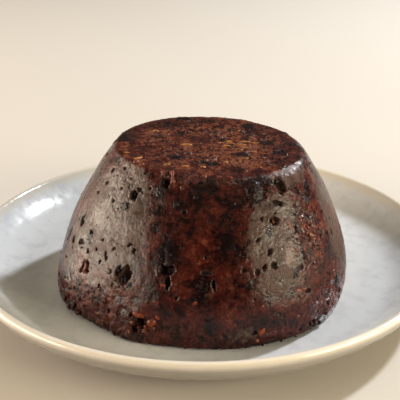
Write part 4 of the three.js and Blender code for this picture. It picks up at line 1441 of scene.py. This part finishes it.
# %% [markdown]
# ## Loose crumbs
#
# Where the skin is torn, along the rim and round the foot, crumbs stand free of the surface and make
# its outline ragged. The same tree sets them, small and mostly proud, wherever the skin is crumbly.
# A particle system could scatter them too, but it would not press them flat against the skin.

# %% The crumbs
PLACED_CRUMBS = [
    (-148.2, 23.2, 4.8, 6.6, 0.3, -15),   # nearly fills the hole at the left
    (-129.8, 25.8, 4, 3.2, 0.7, 20), (-127.2, 23.6, 3.8, 2.8, 0.7, -10), (-132, 28.2, 3, 2.6, 0.5, 0),
    (-124.2, 23, 3, 2.4, 0.6, 0), (-130.6, 22.8, 2.6, 2.2, 0.5, 30), (-152, 3, 4, 3, 1.4, 0),
    (-149, 5, 3, 3.4, 1.2, 0), (-155, 5.5, 3, 2.6, 1, 0), (-146, 2, 3.6, 2.4, 1, 0),
    (-113, 7.5, 3.2, 2.4, 1.2, 0), (-109, 9, 2.6, 2.6, 1.2, 0), (-44, 3, 3, 2.6, 1, 0),
    (-38, 6, 3.4, 2.6, 1, 0), (-96, 1.6, 4, 2, 0.8, 0),
]

crumbs = set_into_skin("loose_crumbs", CRUMB, PLACED_CRUMBS, {
    "Where": "crumbly", "Per Square Metre": 60000.0, "Least Gap": 1.9 * MM, "Shortest": 0.9 * MM,
    "Longest": 2.8 * MM, "Narrowest": 0.55, "Least Proud": 0.15 * MM, "Most Proud": 0.75 * MM,
    "Thickness": 0.7, "Fineness": 2, "Bulge": 0.8, "Wrinkle Size": 1.0 * MM,
    "Wrinkle Height": 0.15 * MM, "Seed": 11})

# %% [markdown]
# ## Stain around the fruit
#
# Dark juice spreads from each raisin, and a raisin just under the skin shows as a dark patch. The skin
# measures how near it is to the fruit, and the crumb's finish darkens there. More zones in a table
# would have to be moved with every raisin, and this follows by itself.

# %% The skin notes how near the fruit is
def nearness_tree():
    tree, given = new_tree("Note what is near", {"Fruit": ("Object", None), "Reach": ("Float", 0.001)})
    found = make(tree, "GeometryNodeObjectInfo", {"Object": given["Fruit"]}, "Geometry")
    distance = make(tree, "GeometryNodeProximity", {"Geometry": found}, "Distance", target_element="FACES")
    near = spread(tree, maths(tree, "DIVIDE", distance, given["Reach"]), 0.1, 1.0, 1.0, 0.0)
    end_tree(tree, given, keep(tree, given["Geometry"], "fruit_near", near))
    return tree


run_tree(pudding, nearness_tree(), {"Fruit": raisins, "Reach": 0.9 * MM, "Material": CRUMB})
pudding.data.shade_smooth()
print("skin:", triangles(pudding), "triangles")

# %% [markdown]
# ## Joining the pieces
#
# The skin stands for the pudding, and skin and fruit ride with the one body.

# %% Join the frame and finish
SLOTS = [
    (pudding, "pudding_crumb"), (raisins, "dried_fruit"), (currants, "dried_fruit"),
    (peel, "candied_peel"), (crumbs, "pudding_crumb")]

for piece, slot in SLOTS:
    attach(piece, "root")
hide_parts("pudding")
